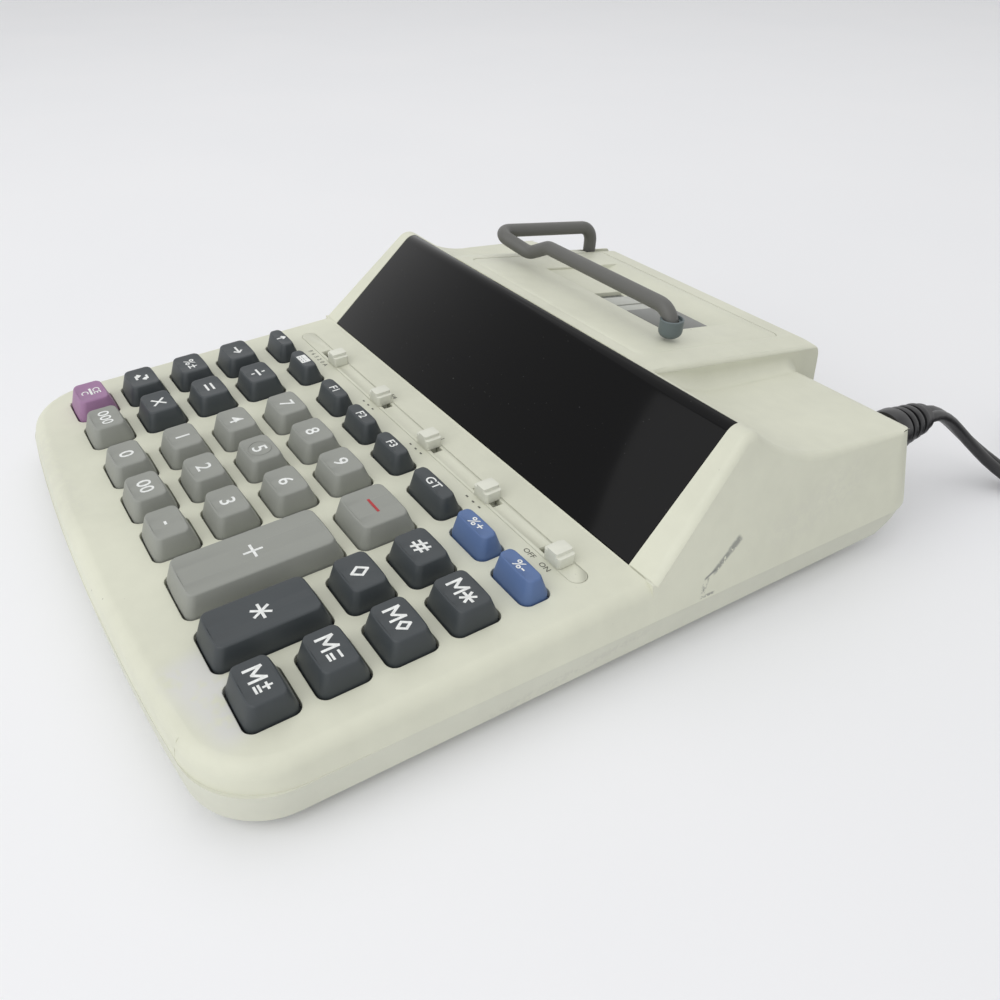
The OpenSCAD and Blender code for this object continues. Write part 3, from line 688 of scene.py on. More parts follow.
class Mark(Enum):
    """Signs that are drawn with straight strokes, in millimetres on the key's top."""

    PLUS = ((-2.4, 0, 2.4, 0), (0, -2.4, 0, 2.4))
    MINUS = ((-2.6, 0, 2.6, 0),)
    EQUALS = ((-2.0, 0.95, 2.0, 0.95), (-2.0, -0.95, 2.0, -0.95))
    TIMES = ((-1.8, -1.8, 1.8, 1.8), (-1.8, 1.8, 1.8, -1.8))
    DIVIDE = ((-2.1, 0, 2.1, 0), (0, 1.45, 0, 2.15), (0, -2.15, 0, -1.45))
    STAR = ((-2.4, 0, 2.4, 0), (-1.2, -2.08, 1.2, 2.08), (-1.2, 2.08, 1.2, -2.08))
    HASH = ((-1.3, -2.1, -0.3, 2.1), (0.5, -2.1, 1.5, 2.1), (-2.2, 0.85, 2.3, 0.85), (-2.4, -0.85, 2.1, -0.85))
    DIAMOND = ((0, 2.3, 1.7, 0), (1.7, 0, 0, -2.3), (0, -2.3, -1.7, 0), (-1.7, 0, 0, 2.3))
    RIGHT = ((-2.4, 0, 1.8, 0), (0.5, 1.3, 2.0, 0), (0.5, -1.3, 2.0, 0))
    UP = ((0, -1.6, 0, 1.3), (-1.0, 0.4, 0, 1.5), (1.0, 0.4, 0, 1.5))
    SWAP = (
        (-1.0, 2.0, 1.6, 2.0), (1.6, 2.0, 1.6, 0.5), (0.7, 1.2, 1.6, 0.3), (2.5, 1.2, 1.6, 0.3),
        (1.0, -2.0, -1.6, -2.0), (-1.6, -2.0, -1.6, -0.5), (-0.7, -1.2, -1.6, -0.3), (-2.5, -1.2, -1.6, -0.3),
    )
    CALENDAR = (
        (-2.6, 1.4, 2.6, 1.4), (-2.6, -1.4, 2.6, -1.4), (-2.6, -1.4, -2.6, 1.4), (2.6, -1.4, 2.6, 1.4),
        (-2.6, 0.6, 2.6, 0.6), (-0.9, -1.4, -0.9, 0.6), (0.9, -1.4, 0.9, 0.6), (-2.6, -0.4, 2.6, -0.4),
    )
    DOT = ((-0.55, -0.3, 0.55, -0.3),)
    MEMORY = ((-1.75, -2.0, -1.75, 2.0), (-1.75, 2.0, 0, -0.7), (0, -0.7, 1.75, 2.0), (1.75, 2.0, 1.75, -2.0))

    def form(self, width: float, size: float = 1.0, at: tuple[float, float] = (0.0, 0.0)) -> Form:
        """Draws the sign flat.

        Args:
            width: Width of the strokes.
            size: Scale of the sign.
            at: Its middle.

        Returns:
            The flat form.
        """
        form = Form()
        for x0, y0, x1, y1 in self.value:
            start, end = Vector((x0, y0, 0)) * size, Vector((x1, y1, 0)) * size
            run = end - start
            bars = bmesh.ops.create_grid(form.bm, x_segments=1, y_segments=1, size=0.5)["verts"]
            matrix = (
                Matrix.Translation((start + end) / 2 + Vector((*at, 0)))
                @ Matrix.Rotation(math.atan2(run.y, run.x), 4, "Z")
                @ Matrix.Diagonal((run.length + width * 0.6, width, 1, 1))
            )
            bmesh.ops.transform(form.bm, matrix=matrix, verts=bars)
        return form


def lettering(
    text: str, height: float, at: tuple[float, float] = (0.0, 0.0), stretch: float = 1.12, bold: float = 0.0
) -> Form:
    """Sets figures or letters flat, centred on a point.

    Args:
        text: What is set.
        height: Height of the tallest letter.
        at: Middle of the text.
        stretch: Widening of the letters.
        bold: Thickening of the strokes.

    Returns:
        The flat form.
    """
    curve = bpy.data.curves.new("lettering", "FONT")
    curve.body = text
    curve.size = 1.0
    curve.offset = bold
    curve.resolution_u = 3
    holder = bpy.data.objects.new("lettering", curve)
    bpy.context.scene.collection.objects.link(holder)
    graph = bpy.context.evaluated_depsgraph_get()
    mesh = bpy.data.meshes.new_from_object(holder.evaluated_get(graph))
    bpy.data.objects.remove(holder)
    bpy.data.curves.remove(curve)
    form = Form()
    form.bm.from_mesh(mesh)
    bpy.data.meshes.remove(mesh)
    low = Vector([min(v.co[i] for v in form.bm.verts) for i in range(3)])
    high = Vector([max(v.co[i] for v in form.bm.verts) for i in range(3)])
    scale = height / (high.y - low.y)
    form.turn(
        Matrix.Translation((*at, 0))
        @ Matrix.Diagonal((scale * stretch, scale, 1, 1))
        @ Matrix.Translation(-(low + high) / 2)
    )
    return form


def rounded_plate(form: Form, width: float, depth: float, corner: float, bow: float = 0.0, steps: int = 5) -> None:
    """Starts a form with one flat face: a rectangle with round corners and bowed front and rear edges.

    Args:
        form: The empty form.
        width: Size along X.
        depth: Size along Y, without the bow.
        corner: Corner radius.
        bow: Height of the bow of the front and rear edges.
        steps: Segments in a corner.
    """
    bm = form.bm
    made = bmesh.ops.create_grid(bm, x_segments=1, y_segments=1, size=0.5)["verts"]
    bmesh.ops.transform(bm, matrix=Matrix.Diagonal((width, depth, 1, 1)), verts=made)
    bmesh.ops.bevel(
        bm, geom=bm.verts[:], offset=corner, offset_type="OFFSET", affect="VERTICES", segments=steps, profile=0.5,
        material=-1,
    )
    if bow:
        long = [e for e in bm.edges if abs(e.verts[0].co.y - e.verts[1].co.y) < 1e-4 and e.calc_length() > width / 2]
        bmesh.ops.bisect_edges(bm, edges=long, cuts=6)
        for vert in bm.verts:
            vert.co.y += math.copysign(bow, vert.co.y) * (1 - (2 * vert.co.x / width) ** 2)


def raise_face(form: Form, lift: float, scale: tuple[float, float] = (1.0, 1.0)) -> None:
    """Extrudes the top face up and draws it in.

    Args:
        form: The form, whose highest face is raised.
        lift: Height.
        scale: Size along X and Y against the face below.
    """
    top = max(form.bm.faces, key=lambda f: f.calc_center_median().z)
    made = bmesh.ops.extrude_face_region(form.bm, geom=[top])["geom"]
    verts = [g for g in made if isinstance(g, bmesh.types.BMVert)]
    bmesh.ops.delete(form.bm, geom=[top], context="FACES_ONLY")
    bmesh.ops.translate(form.bm, vec=(0, 0, lift), verts=verts)
    bmesh.ops.scale(form.bm, vec=(*scale, 1), verts=verts)


def rounded_route(points: Sequence[Point], radii: Sequence[float], steps: int = 8) -> list[Vector]:
    """Rounds the corners of a route.

    Args:
        points: Corner points.
        radii: Bend radius at each.
        steps: Points in a bend.

    Returns:
        The points along the rounded route.
    """
    route: list[Vector] = []
    for i, point in enumerate(points):
        here = Vector(point)
        if radii[i] == 0:
            route.append(here)
            continue
        back, ahead = (Vector(points[i - 1]) - here).normalized(), (Vector(points[i + 1]) - here).normalized()
        half = back.angle(ahead) / 2
        middle = here + (back + ahead).normalized() * radii[i] / math.sin(half)
        start, end = here + back * radii[i] / math.tan(half) - middle, here + ahead * radii[i] / math.tan(half) - middle
        turn = math.pi - 2 * half
        route += [
            middle + (math.sin(turn * (1 - k / steps)) * start + math.sin(turn * k / steps) * end) / math.sin(turn)
            for k in range(steps + 1)
        ]
    return route


def sweep(form: Form, route: Sequence[Vector], level: bool = False) -> None:
    """Carries the form's open outline along a route and closes both ends.

    Args:
        form: A form that holds one closed loop of edges in the XY plane.
        route: The points, first to last.
        level: Whether the outline's X stays level, as on a flat cord.
    """
    bm = form.bm
    count = len(route)
    side: Optional[Vector] = None
    frames: list[Matrix] = []
    for i, point in enumerate(route):
        ahead = (route[min(i + 1, count - 1)] - route[max(i - 1, 0)]).normalized()
        if level or side is None:
            up = Vector((0, 0, 1)) if abs(ahead.z) < 0.9 else Vector((0, 1, 0))
            side = up.cross(ahead).normalized()
        else:
            side = (side - side.dot(ahead) * ahead).normalized()
        frames.append(Matrix.Translation(point) @ Matrix((side, ahead.cross(side), ahead)).transposed().to_4x4())
    ring = list(bm.edges)
    ends = [list(bm.verts)]
    bmesh.ops.transform(bm, matrix=frames[0], verts=bm.verts[:])
    for before, after in zip(frames, frames[1:]):
        made = bmesh.ops.extrude_edge_only(bm, edges=ring)["geom"]
        ring = [g for g in made if isinstance(g, bmesh.types.BMEdge)]
        verts = [g for g in made if isinstance(g, bmesh.types.BMVert)]
        ring = [e for e in ring if e.verts[0] in set(verts) and e.verts[1] in set(verts)]
        bmesh.ops.transform(bm, matrix=after @ before.inverted(), verts=verts)
    ends.append(verts)
    for loop in ends:
        bmesh.ops.contextual_create(bm, geom=loop)
    bmesh.ops.recalc_face_normals(bm, faces=bm.faces)


# Studio


@dataclass
class Studio:
    """Floor, soft light and the camera at the photograph's viewing angle."""

    focal: float = 0.8708
    azimuth: float = 60.75
    elevation: float = 36.44
    roll: float = -0.83
    place: Point = (196.7, -124.2, 164.7)
    shift: tuple[float, float] = (0.0975, 0.0025)
    lamps: tuple[tuple[Point, float, float], ...] = (((-0.25, 0.3, 1.1), 1.3, 2.6), ((0.25, -1.0, 0.85), 1.4, 8.5))
    fill: float = 0.6

    def build(self) -> None:
        """Makes the camera, the lamp, the world and the floor."""
        self._camera()
        self._lamp()
        self._world()
        self._floor()
        bpy.context.scene.view_settings.view_transform = "Standard"

    def _camera(self) -> None:
        """Sets the camera from its bearing, height angle and roll."""
        azimuth, elevation, roll = (math.radians(v) for v in (self.azimuth, self.elevation, self.roll))
        back = Vector((
            math.sin(azimuth) * math.cos(elevation), -math.cos(azimuth) * math.cos(elevation), math.sin(elevation)))
        right = Vector((math.cos(azimuth), math.sin(azimuth), 0))
        up = back.cross(right)
        turned = Matrix((
            right * math.cos(roll) + up * math.sin(roll), up * math.cos(roll) - right * math.sin(roll), back))
        data = bpy.data.cameras.new("photo_view")
        data.sensor_width = 36
        data.lens = 36 * self.focal
        data.shift_x, data.shift_y = self.shift
        data.clip_start = 0.01
        camera = bpy.data.objects.new("photo_view", data)
        camera.matrix_world = Matrix.Translation(Vector(self.place) * MM) @ turned.transposed().to_4x4()
        bpy.context.scene.collection.objects.link(camera)
        bpy.context.scene.camera = camera

    def _lamp(self) -> None:
        """Hangs two large soft lamps: one over the part and one in front."""
        for number, (at, size, watts) in enumerate(self.lamps):
            data = bpy.data.lights.new(f"soft_box_{number}", "AREA")
            data.shape = "SQUARE"
            data.size = size
            data.energy = watts
            lamp = bpy.data.objects.new(data.name, data)
            place = Vector(at)
            lamp.matrix_world = Matrix.Translation(place) @ place.to_track_quat("Z", "Y").to_matrix().to_4x4()
            bpy.context.scene.collection.objects.link(lamp)

    def _world(self) -> None:
        """Gives an even fill, and plain white where the camera or a reflection sees it."""
        world = bpy.data.worlds.new("studio")
        world.use_nodes = True
        tree = world.node_tree
        tree.nodes.clear()
        path = tree.nodes.new("ShaderNodeLightPath")
        seen = None
        for name in ("Is Camera Ray", "Is Glossy Ray", "Is Transmission Ray"):
            socket = path.outputs[name]
            if seen is not None:
                either = tree.nodes.new("ShaderNodeMath")
                either.operation = "MAXIMUM"
                tree.links.new(seen, either.inputs[0])
                tree.links.new(socket, either.inputs[1])
                socket = either.outputs[0]
            seen = socket
        level = tree.nodes.new("ShaderNodeMapRange")
        level.inputs["To Min"].default_value = self.fill
        level.inputs["To Max"].default_value = 1.0
        tree.links.new(seen, level.inputs["Value"])
        sky = tree.nodes.new("ShaderNodeBackground")
        tree.links.new(level.outputs[0], sky.inputs["Strength"])
        sky.inputs["Color"].default_value = (1.0, 1.0, 1.0, 1.0)
        out = tree.nodes.new("ShaderNodeOutputWorld")
        tree.links.new(sky.outputs[0], out.inputs["Surface"])
        bpy.context.scene.world = world

    def _floor(self) -> None:
        """Lays the pale table top."""
        form = Form()
        bmesh.ops.create_grid(form.bm, x_segments=1, y_segments=1, size=4.0)
        mesh = bpy.data.meshes.new("table_top")
        form.bm.to_mesh(mesh)
        form.bm.free()
        shader = Shader("table_white")
        drift = shader.noise(160, 2)
        mesh.materials.append(shader.surface(
            Base_Color=shader.mix(drift, srgb(238, 239, 242), srgb(243, 243, 245)), Roughness=0.55))
        floor = bpy.data.objects.new("table_top", mesh)
        bpy.context.scene.collection.objects.link(floor)


# Mains lead


@dataclass
class MainsLead:
    """Flat twin lead from the strain relief to its coil and plug."""

    paint: Paint
    width: float = 6.8
    thick: float = 3.4
    exit: Point = (77, 122, 28)
    fall: tuple[Point, ...] = (
        (77, 122, 28), (77, 124, 28), (77, 127, 27.7), (77, 130, 26.8), (77.4, 133, 25.3), (78, 136, 23.3),
        (79, 139, 20.8), (80.3, 142, 18), (82, 145, 15), (84, 148, 12), (86.5, 150.7, 9.2), (89.5, 153, 6.8),
        (93, 155, 4.7), (97, 156.5, 3), (101.5, 157.5, 2.0), (107, 158, 1.7), (112, 158, 1.7), (117.2, 158, 1.7))
    coil_middle: tuple[float, float] = (124, 206)
    coil_radius: float = 48
    coil_step: float = 7.5
    turns: float = 7.25
    lift: float = 3.9
    tail: float = 29
    plug_body: float = 24
    steps: int = 36

    def _coil_point(self, n: float) -> Vector:
        """Point of the coil after n turns."""
        angle = math.radians(360 * n - 90)
        radius = self.coil_radius - self.coil_step * min(n, self.turns - n)
        climb = min(max(2 * (n - self.turns / 2) + 0.5, 0), 1)
        return Vector((
            self.coil_middle[0] + radius * math.cos(angle), self.coil_middle[1] + radius * math.sin(angle),
            self.thick / 2 + self.lift * climb * climb * (3 - 2 * climb)))

    def route(self) -> list[Vector]:
        """Points of the whole lead, from the strain relief to the plug.

        Returns:
            The points in millimetres.
        """
        count = round(self.steps * self.turns)
        end = self._coil_point(self.turns)
        return (
            [Vector(p) for p in self.fall]
            + [self._coil_point(i * self.turns / count) for i in range(count + 1)]
            + [end + Vector((0, y, 0)) for y in (self.width, self.tail / 2, self.tail)])

    def _section(self, form: Form) -> None:
        """Draws the twin section: two round cores with a web between them."""
        core = self.thick / 2
        ring = bmesh.ops.create_circle(form.bm, cap_ends=False, radius=1.0, segments=28)["verts"]
        for vert in ring:
            x, side = vert.co.x * self.width / 2, math.copysign(1.0, vert.co.y)
            across = min(abs(abs(x) - (self.width / 2 - core)), core)
            vert.co = (x, side * max(math.sqrt(core * core - across * across), 0.0 if abs(x) > core else 0.8), 0)

    def build(self) -> None:
        route = self.route()
        form = Form()
        self._section(form)
        sweep(form, route, level=True)
        lead = form.piece("lead", [self.paint.lead], "case", slot="lead", sharp=50)
        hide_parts("mains_lead", "lead_coil")
        relief = Form.of_node("strain_relief").flatten(1.0).soften(0.35, 40).piece(
            "relief", [self.paint.lead], "case", "strain_relief", "lead")
        plug = self._plug()
        self.width * MM

    def _plug(self) -> bpy.types.Object:
        """Dresses the plug: rounded body, grip ribs and bright blades."""
        form = Form.of_node("mains_plug").flatten(1.0)
        low_blade = self._coil_point(self.turns).y + self.tail + 7 + self.plug_body - 0.5
        for face in form.bm.faces:
            face.material_index = int(face.calc_center_median().y > low_blade + 1 and min(
                v.co.y for v in face.verts) > low_blade)
        form.soften(0.9, 50, 3, lambda e: all(v.co.y < low_blade + 0.6 for v in e.verts))
        return form.piece("plug", [self.paint.lead, self.paint.steel], "case", "mains_plug", "lead")


# Case


@dataclass
class CaseShell:
    """Upper case, lower tray and the fixed pieces inside and below."""

    paint: Paint
    cheek: float = 1.9
    ridge: float = 1.2
    fine: float = 0.3
    hump: tuple[float, float] = (-57.5, 44.0)
    blend: float = 4.2

    def build(self) -> None:
        """Dresses the mouldings, and gives the other fixed nodes their finish."""
        self._upper()
        self._tray()
        plain = {
            "display_module": self.paint.module, "main_board": self.paint.board, "key_mat": self.paint.mat,
            "case_screws": self.paint.steel, "rubber_feet": self.paint.feet,
        }
        for node, material in plain.items():
            dress(node, material)

    def _upper(self) -> None:
        """Rounds the edges of the upper case: the rims of the key holes, then cheeks and shelf and the printer ridges,
        and adds the hollow blends beside the hump.
        """
        form = Form.of_node("upper_case", 0.03)
        self._join_rim(form)
        form.flatten(0.4)
        self._part_slope(form)
        form.soften(self.fine, 60, 2, self._on_key_hole, clamp=False)
        form.weigh(35, self._weight)
        for side in self.hump:
            form.add(self._hump_blend(form, side))
        form.piece(
            "upper_shell", [self.paint.case], "case", "upper_case", "case", sharp=30, weighted=True,
            rounding=(self.cheek, 6))

    def _join_rim(self, form: Form) -> None:
        """Joins points that lie close together on the rounded front."""
        rim = [v for v in form.bm.verts if v.co.y < -60 and (abs(v.co.x) > 81 or v.co.y < -99)]
        bmesh.ops.remove_doubles(form.bm, verts=rim, dist=0.25)

    def _part_slope(self, form: Form) -> None:
        """Parts the cheeks from the narrow sill below the window, so that each is a plain face."""
        back = SLOPE.matrix().inverted() @ Matrix.Scale(MM, 4)
        sill = [f for f in form.bm.faces if all(abs((back @ v.co).z) < 0.05 for v in f.verts)]
        parts = {g for f in sill for g in (*f.edges, *f.verts)}
        turn = SLOPE.matrix().to_3x3()
        bmesh.ops.bisect_plane(
            form.bm, geom=[*sill, *parts], dist=1e-4, plane_no=(turn @ Vector((0, 1, 0))).normalized(),
            plane_co=SLOPE.matrix() @ Vector((0, 0.6, 0)) / MM)

    def _on_key_hole(self, edge: bmesh.types.BMEdge) -> bool:
        """Tells the upper rim of a key's hole."""
        back = DECK.matrix().inverted() @ Matrix.Scale(MM, 4)
        ends = [back @ v.co for v in edge.verts]
        return all(abs(c.z + 0.04) < 0.03 and -98 < c.y < -16 and abs(c.x) < 82 for c in ends)

    def _weight(self, edge: bmesh.types.BMEdge) -> float:
        """Share of the full rounding that an edge of the upper case gets."""
        rear = max(v.co.y for v in edge.verts)
        if self._on_cheek(edge):
            return min(1.0, max(0.1, (100 - rear) / 16))
        if self._on_ridge(edge):
            return self.ridge / self.cheek
        return 0.0

    def _on_cheek(self, edge: bmesh.types.BMEdge) -> bool:
        """Tells the long outer edge of a cheek and the shelf behind it."""
        ends = [v.co for v in edge.verts]
        steep = any(abs(f.normal.y) > 0.97 for f in edge.link_faces)
        return all(c.y > 4.2 and abs(c.x) > 82.5 and c.z > 22 for c in ends) and not steep and edge.is_convex

    def _on_ridge(self, edge: bmesh.types.BMEdge) -> bool:
        """Tells the outer ridges of the printer hump."""
        back = HUMP.matrix().inverted() @ Matrix.Scale(MM, 4)
        ends = [back @ v.co for v in edge.verts]
        side = min(abs(ends[0].x - self.hump[0]), abs(ends[0].x - self.hump[1]))
        return all(abs(c.z + 1.6) < 0.3 for c in ends) and side < 0.5 and edge.is_convex

    def _hump_blend(self, form: Form, side: float) -> Form:
        """Hollow blend from a side of the printer hump to the shelf beside it.

        Args:
            form: The upper case.
            side: Place of that side along X.

        Returns:
            The blend, which lies a hair above both faces.
        """
        outward = math.copysign(1.0, side)
        shelf: dict[bmesh.types.BMVert, Vector] = {}
        for edge in form.bm.edges:
            if len(edge.link_faces) != 2 or edge.is_convex or any(
                    abs(v.co.x - side) > 1.6 or v.co.z < 29 or v.co.y < 39.5 for v in edge.verts):
                continue
            wall, floor = sorted(edge.link_faces, key=lambda f: -f.normal.x * outward)
            if wall.normal.x * outward > 0.9 and abs(floor.normal.x) < 0.2 and floor.normal.z > 0.3:
                for vert in edge.verts:
                    shelf[vert] = shelf.get(vert, Vector()) + floor.normal
        strip = Form()
        rows = []
        upright = Vector((outward, 0.01, 0.09)).normalized()
        slide = Matrix.Rotation(math.radians(-HUMP.angle), 4, "X")
        for vert in sorted(shelf, key=lambda v: v.co.y):
            level = shelf[vert].normalized()
            room = (slide @ (vert.co - Vector((0, HUMP.y, HUMP.z)))).z + self.ridge + 1.6
            radius = min(self.blend, max(0.05, -room)) * min(1.0, max(0.02, (105.2 - vert.co.y) / 9))
            middle = vert.co + (upright + level) * (radius / (1 + upright.dot(level)) + 0.02)
            lines = [upright.slerp(level, i / 10) for i in range(11)]
            arc = [middle - line * radius for line in lines]
            arc.insert(0, arc[0] - (level - upright * level.dot(upright)) * -0.25)
            arc.append(arc[-1] + (upright - level * upright.dot(level)) * 0.25)
            rows.append([strip.bm.verts.new(point) for point in arc])
        for first, second in zip(rows, rows[1:]):
            for i in range(len(first) - 1):
                strip.bm.faces.new((first[i], first[i + 1], second[i + 1], second[i]))
        if strip.bm.faces[:] and sum(f.normal.z for f in strip.bm.faces) == 0:
            strip.bm.normal_update()
        if sum(f.normal.z for f in strip.bm.faces) < 0:
            bmesh.ops.reverse_faces(strip.bm, faces=strip.bm.faces)
        return strip

    def _tray(self) -> None:
        """Joins the rounded front of the lower tray and smooths its shading."""
        form = Form.of_node("lower_case", 0.03)
        self._join_rim(form)
        form.flatten(0.4)
        form.piece("lower_tray", [self.paint.tray], "case", "lower_case", "case", sharp=30, weighted=True)


def dress(node: str, material: bpy.types.Material) -> None:
    """Gives a carried-over CAD node its finish.

    Args:
        node: Name of the node.
        material: Its material.
    """
    mesh = bpy.data.objects[node].data
    mesh.materials.clear()
    mesh.materials.append(material)
    LOG.info("%s: finish %s", node, material.name)


@dataclass
class DisplayPanel:
    """Dark window that leans back and rolls over the top edge."""

    paint: Paint

    def build(self) -> None:
        """Smooths the window's roll and breaks its edges."""
        form = Form.of_node("display_window", 0.03).flatten(0.4).soften(0.25, 60)
        form.piece("window", [self.paint.window], "case", "display_window", "window", sharp=40)


# Keys


class Shade(Enum):
    """Colours of the keys."""

    LIGHT = "key_light"
    DARK = "key_dark"
    PURPLE = "key_purple"
    BLUE = "key_blue"


Legend = Sequence[Union[str, Mark, tuple]]


@dataclass(frozen=True)
class Key:
    """One key: its node, column, place behind the front row, size, colour and legend."""

    node: str
    column: int
    row: float
    shade: Shade
    legend: tuple
    width: float = 15.0
    depth: float = 12.8


@dataclass
class KeyBank:
    """The 37 keys on the sloped deck."""

    paint: Paint
    front_row: float = -89.8
    columns: tuple[float, ...] = (-71.5, -52.5, -28.7, -9.7, 9.3, 32.3, 53.3, 72.3)
    pitch: float = 17.0
    rear_row: float = 67.6
    height: float = 6.0
    draw: tuple[float, float] = (1.0, 1.85)
    corner: float = 2.2
    dish: float = 0.35
    stroke: float = 0.74

    def keys(self) -> list[Key]:
        """Lists the keys from the front row to the rear.

        Returns:
            The keys.
        """
        light, dark, blue, p = Shade.LIGHT, Shade.DARK, Shade.BLUE, self.pitch
        small = {"depth": 8.0}
        memory = (Mark.MEMORY, 1.0, (-1.9, 0))
        return [
            Key("key_clear", 0, 0, Shade.PURPLE, (("CE", 2.3, (0, 1.9)), ("C", 2.3, (0, -1.9)), (Mark.MINUS, 0.8, (0, 0)))),
            Key("key_000", 1, 0, light, (("000", 3.6, (0, 0)),)),
            Key("key_0", 2, 0, light, (("0", 4.3, (0, 0)),)),
            Key("key_00", 3, 0, light, (("00", 4.1, (0, 0)),)),
            Key("key_point", 4, 0, light, ((Mark.DOT, 1.0, (0, 0)),)),
            Key("key_plus", 5, p - 2, light, ((Mark.PLUS, 1.0, (0, 0)),), 18, 42.8),
            Key("key_total", 6, p / 2, dark, ((Mark.STAR, 1.0, (0, 0)),), depth=29.8),
            Key("key_memory_plus", 7, 0, dark, (
                memory, (Mark.PLUS, 0.42, (2.3, 1.2)), (Mark.EQUALS, 0.5, (2.3, -1.1)))),
            Key("key_sign", 0, p, dark, ((Mark.SWAP, 0.85, (0, 0)),)),
            Key("key_times", 1, p, dark, ((Mark.TIMES, 1.0, (0, 0)),)),
            Key("key_1", 2, p, light, (("1", 4.3, (0, 0)),)),
            Key("key_2", 3, p, light, (("2", 4.3, (0, 0)),)),
            Key("key_3", 4, p, light, (("3", 4.3, (0, 0)),)),
            Key("key_memory_minus", 7, p, dark, (
                memory, (Mark.MINUS, 0.42, (2.3, 1.2)), (Mark.EQUALS, 0.5, (2.3, -1.1)))),
            Key("key_percent", 0, 2 * p, dark, (("%", 3.4, (-1.2, 0)), ("±", 2.9, (2.4, 0)))),
            Key("key_equals", 1, 2 * p, dark, ((Mark.EQUALS, 1.0, (0, 0)),)),
            Key("key_4", 2, 2 * p, light, (("4", 4.3, (0, 0)),)),
            Key("key_5", 3, 2 * p, light, (("5", 4.3, (0, 0)),)),
            Key("key_6", 4, 2 * p, light, (("6", 4.3, (0, 0)),)),
            Key("key_subtotal", 6, 2 * p, dark, ((Mark.DIAMOND, 0.95, (0, 0)),)),
            Key("key_memory_subtotal", 7, 2 * p, dark, (memory, (Mark.DIAMOND, 0.75, (2.4, 0)))),
            Key("key_shift", 0, 3 * p, dark, ((Mark.RIGHT, 1.0, (0, 0)),)),
            Key("key_divide", 1, 3 * p, dark, ((Mark.DIVIDE, 1.0, (0, 0)),)),
            Key("key_7", 2, 3 * p, light, (("7", 4.3, (0, 0)),)),
            Key("key_8", 3, 3 * p, light, (("8", 4.3, (0, 0)),)),
            Key("key_9", 4, 3 * p, light, (("9", 4.3, (0, 0)),)),
            Key("key_minus", 5, 3 * p - 2, light, ((Mark.MINUS, 1.1, (0, 0)),), 18, 16.8),
            Key("key_count", 6, 3 * p, dark, ((Mark.HASH, 0.95, (0, 0)),)),
            Key("key_memory_total", 7, 3 * p, dark, (memory, (Mark.STAR, 0.78, (2.5, 0)))),
            Key("key_feed", 0, self.rear_row, dark, ((Mark.UP, 1.0, (0, 0)),), **small),
            Key("key_calendar", 1, self.rear_row, dark, ((Mark.CALENDAR, 0.9, (0, 0)),), **small),
            Key("key_f1", 2, self.rear_row, dark, (("F1", 2.6, (0, 0)),), **small),
            Key("key_f2", 3, self.rear_row, dark, (("F2", 2.6, (0, 0)),), **small),
            Key("key_f3", 4, self.rear_row, dark, (("F3", 2.6, (0, 0)),), **small),
            Key("key_grand_total", 5, self.rear_row, dark, (("GT", 2.8, (0, 0)),), 18, 8.0),
            Key("key_tax_plus", 6, self.rear_row, blue, (("%+", 2.7, (0, 0)),), **small),
            Key("key_tax_minus", 7, self.rear_row, blue, (("%-", 2.7, (0, 0)),), **small),
        ]

    def build(self) -> None:
        """Makes every key."""
        finish = {
            Shade.LIGHT: self.paint.light, Shade.DARK: self.paint.dark, Shade.PURPLE: self.paint.purple,
            Shade.BLUE: self.paint.blue,
        }
        for key in self.keys():
            form = self._cap(key)
            form.add(self._legend(key), 1)
            if key.node == "key_5":
                form.add(self._ring(key), 0)
            form.turn(Matrix.Translation((self.columns[key.column], self.front_row + key.row, 0)))
            form.turn(Matrix.Scale(1 / MM, 4) @ DECK.matrix())
            ink = self.paint.red if key.node == "key_minus" else self.paint.white
            form.piece(key.node + "_cap", [finish[key.shade], ink], key.node + "_body", key.node, key.shade.value, 40)

    def _sunk(self, key: Key, x: float) -> float:
        """Depth of the dish at a place across the key's top."""
        half = key.width / 2 - self.draw[0]
        return self.dish * max(0.0, 1 - (x / (half - 0.6)) ** 2)

    def _cap(self, key: Key) -> Form:
        """Models the cap: skirt with a stop flange, drawn sides, soft rim and dished top.

        Args:
            key: The key.

        Returns:
            The cap, with the deck at Z = 0.
        """
        form = Form()
        bow = 0.35
        rounded_plate(form, key.width, key.depth - 2 * bow, self.corner, bow)
        bm = form.bm
        bmesh.ops.translate(bm, vec=(0, 0, -3.4), verts=bm.verts)
        raise_face(form, 3.8)
        top_scale = (1 - 2 * self.draw[0] / key.width, 1 - 2 * self.draw[1] / key.depth)
        raise_face(form, self.height - 0.4, top_scale)
        rim = max(bm.faces, key=lambda f: f.calc_center_median().z)
        bmesh.ops.bevel(
            bm, geom=list(rim.edges), offset=0.5, offset_type="OFFSET", affect="EDGES", segments=3, profile=0.5,
            material=-1, clamp_overlap=True)
        half = key.width / 2 - self.draw[0] - 0.6
        for i in range(1, 12):
            x = half * (i / 6 - 1)
            tops = [f for f in bm.faces if f.calc_center_median().z > self.height - 1e-3]
            edges = {e for f in tops for e in f.edges}
            verts = {v for f in tops for v in f.verts}
            bmesh.ops.bisect_plane(
                bm, geom=[*tops, *edges, *verts], dist=1e-4, plane_co=(x, 0, 0), plane_no=(1, 0, 0))
        for vert in bm.verts:
            if vert.co.z > self.height - 1e-3:
                vert.co.z -= self._sunk(key, vert.co.x)
        base = min(bm.faces, key=lambda f: f.calc_center_median().z)
        if base.normal.z > 0:
            bmesh.ops.reverse_faces(bm, faces=[base])
        bmesh.ops.holes_fill(bm, edges=[e for e in bm.edges if e.is_boundary])
        flange = Form()
        rounded_plate(flange, key.width + 2.2, key.depth + 2.2, 1.5)
        bmesh.ops.translate(flange.bm, vec=(0, 0, -3.4), verts=flange.bm.verts)
        raise_face(flange, 1.0)
        bmesh.ops.holes_fill(flange.bm, edges=[e for e in flange.bm.edges if e.is_boundary])
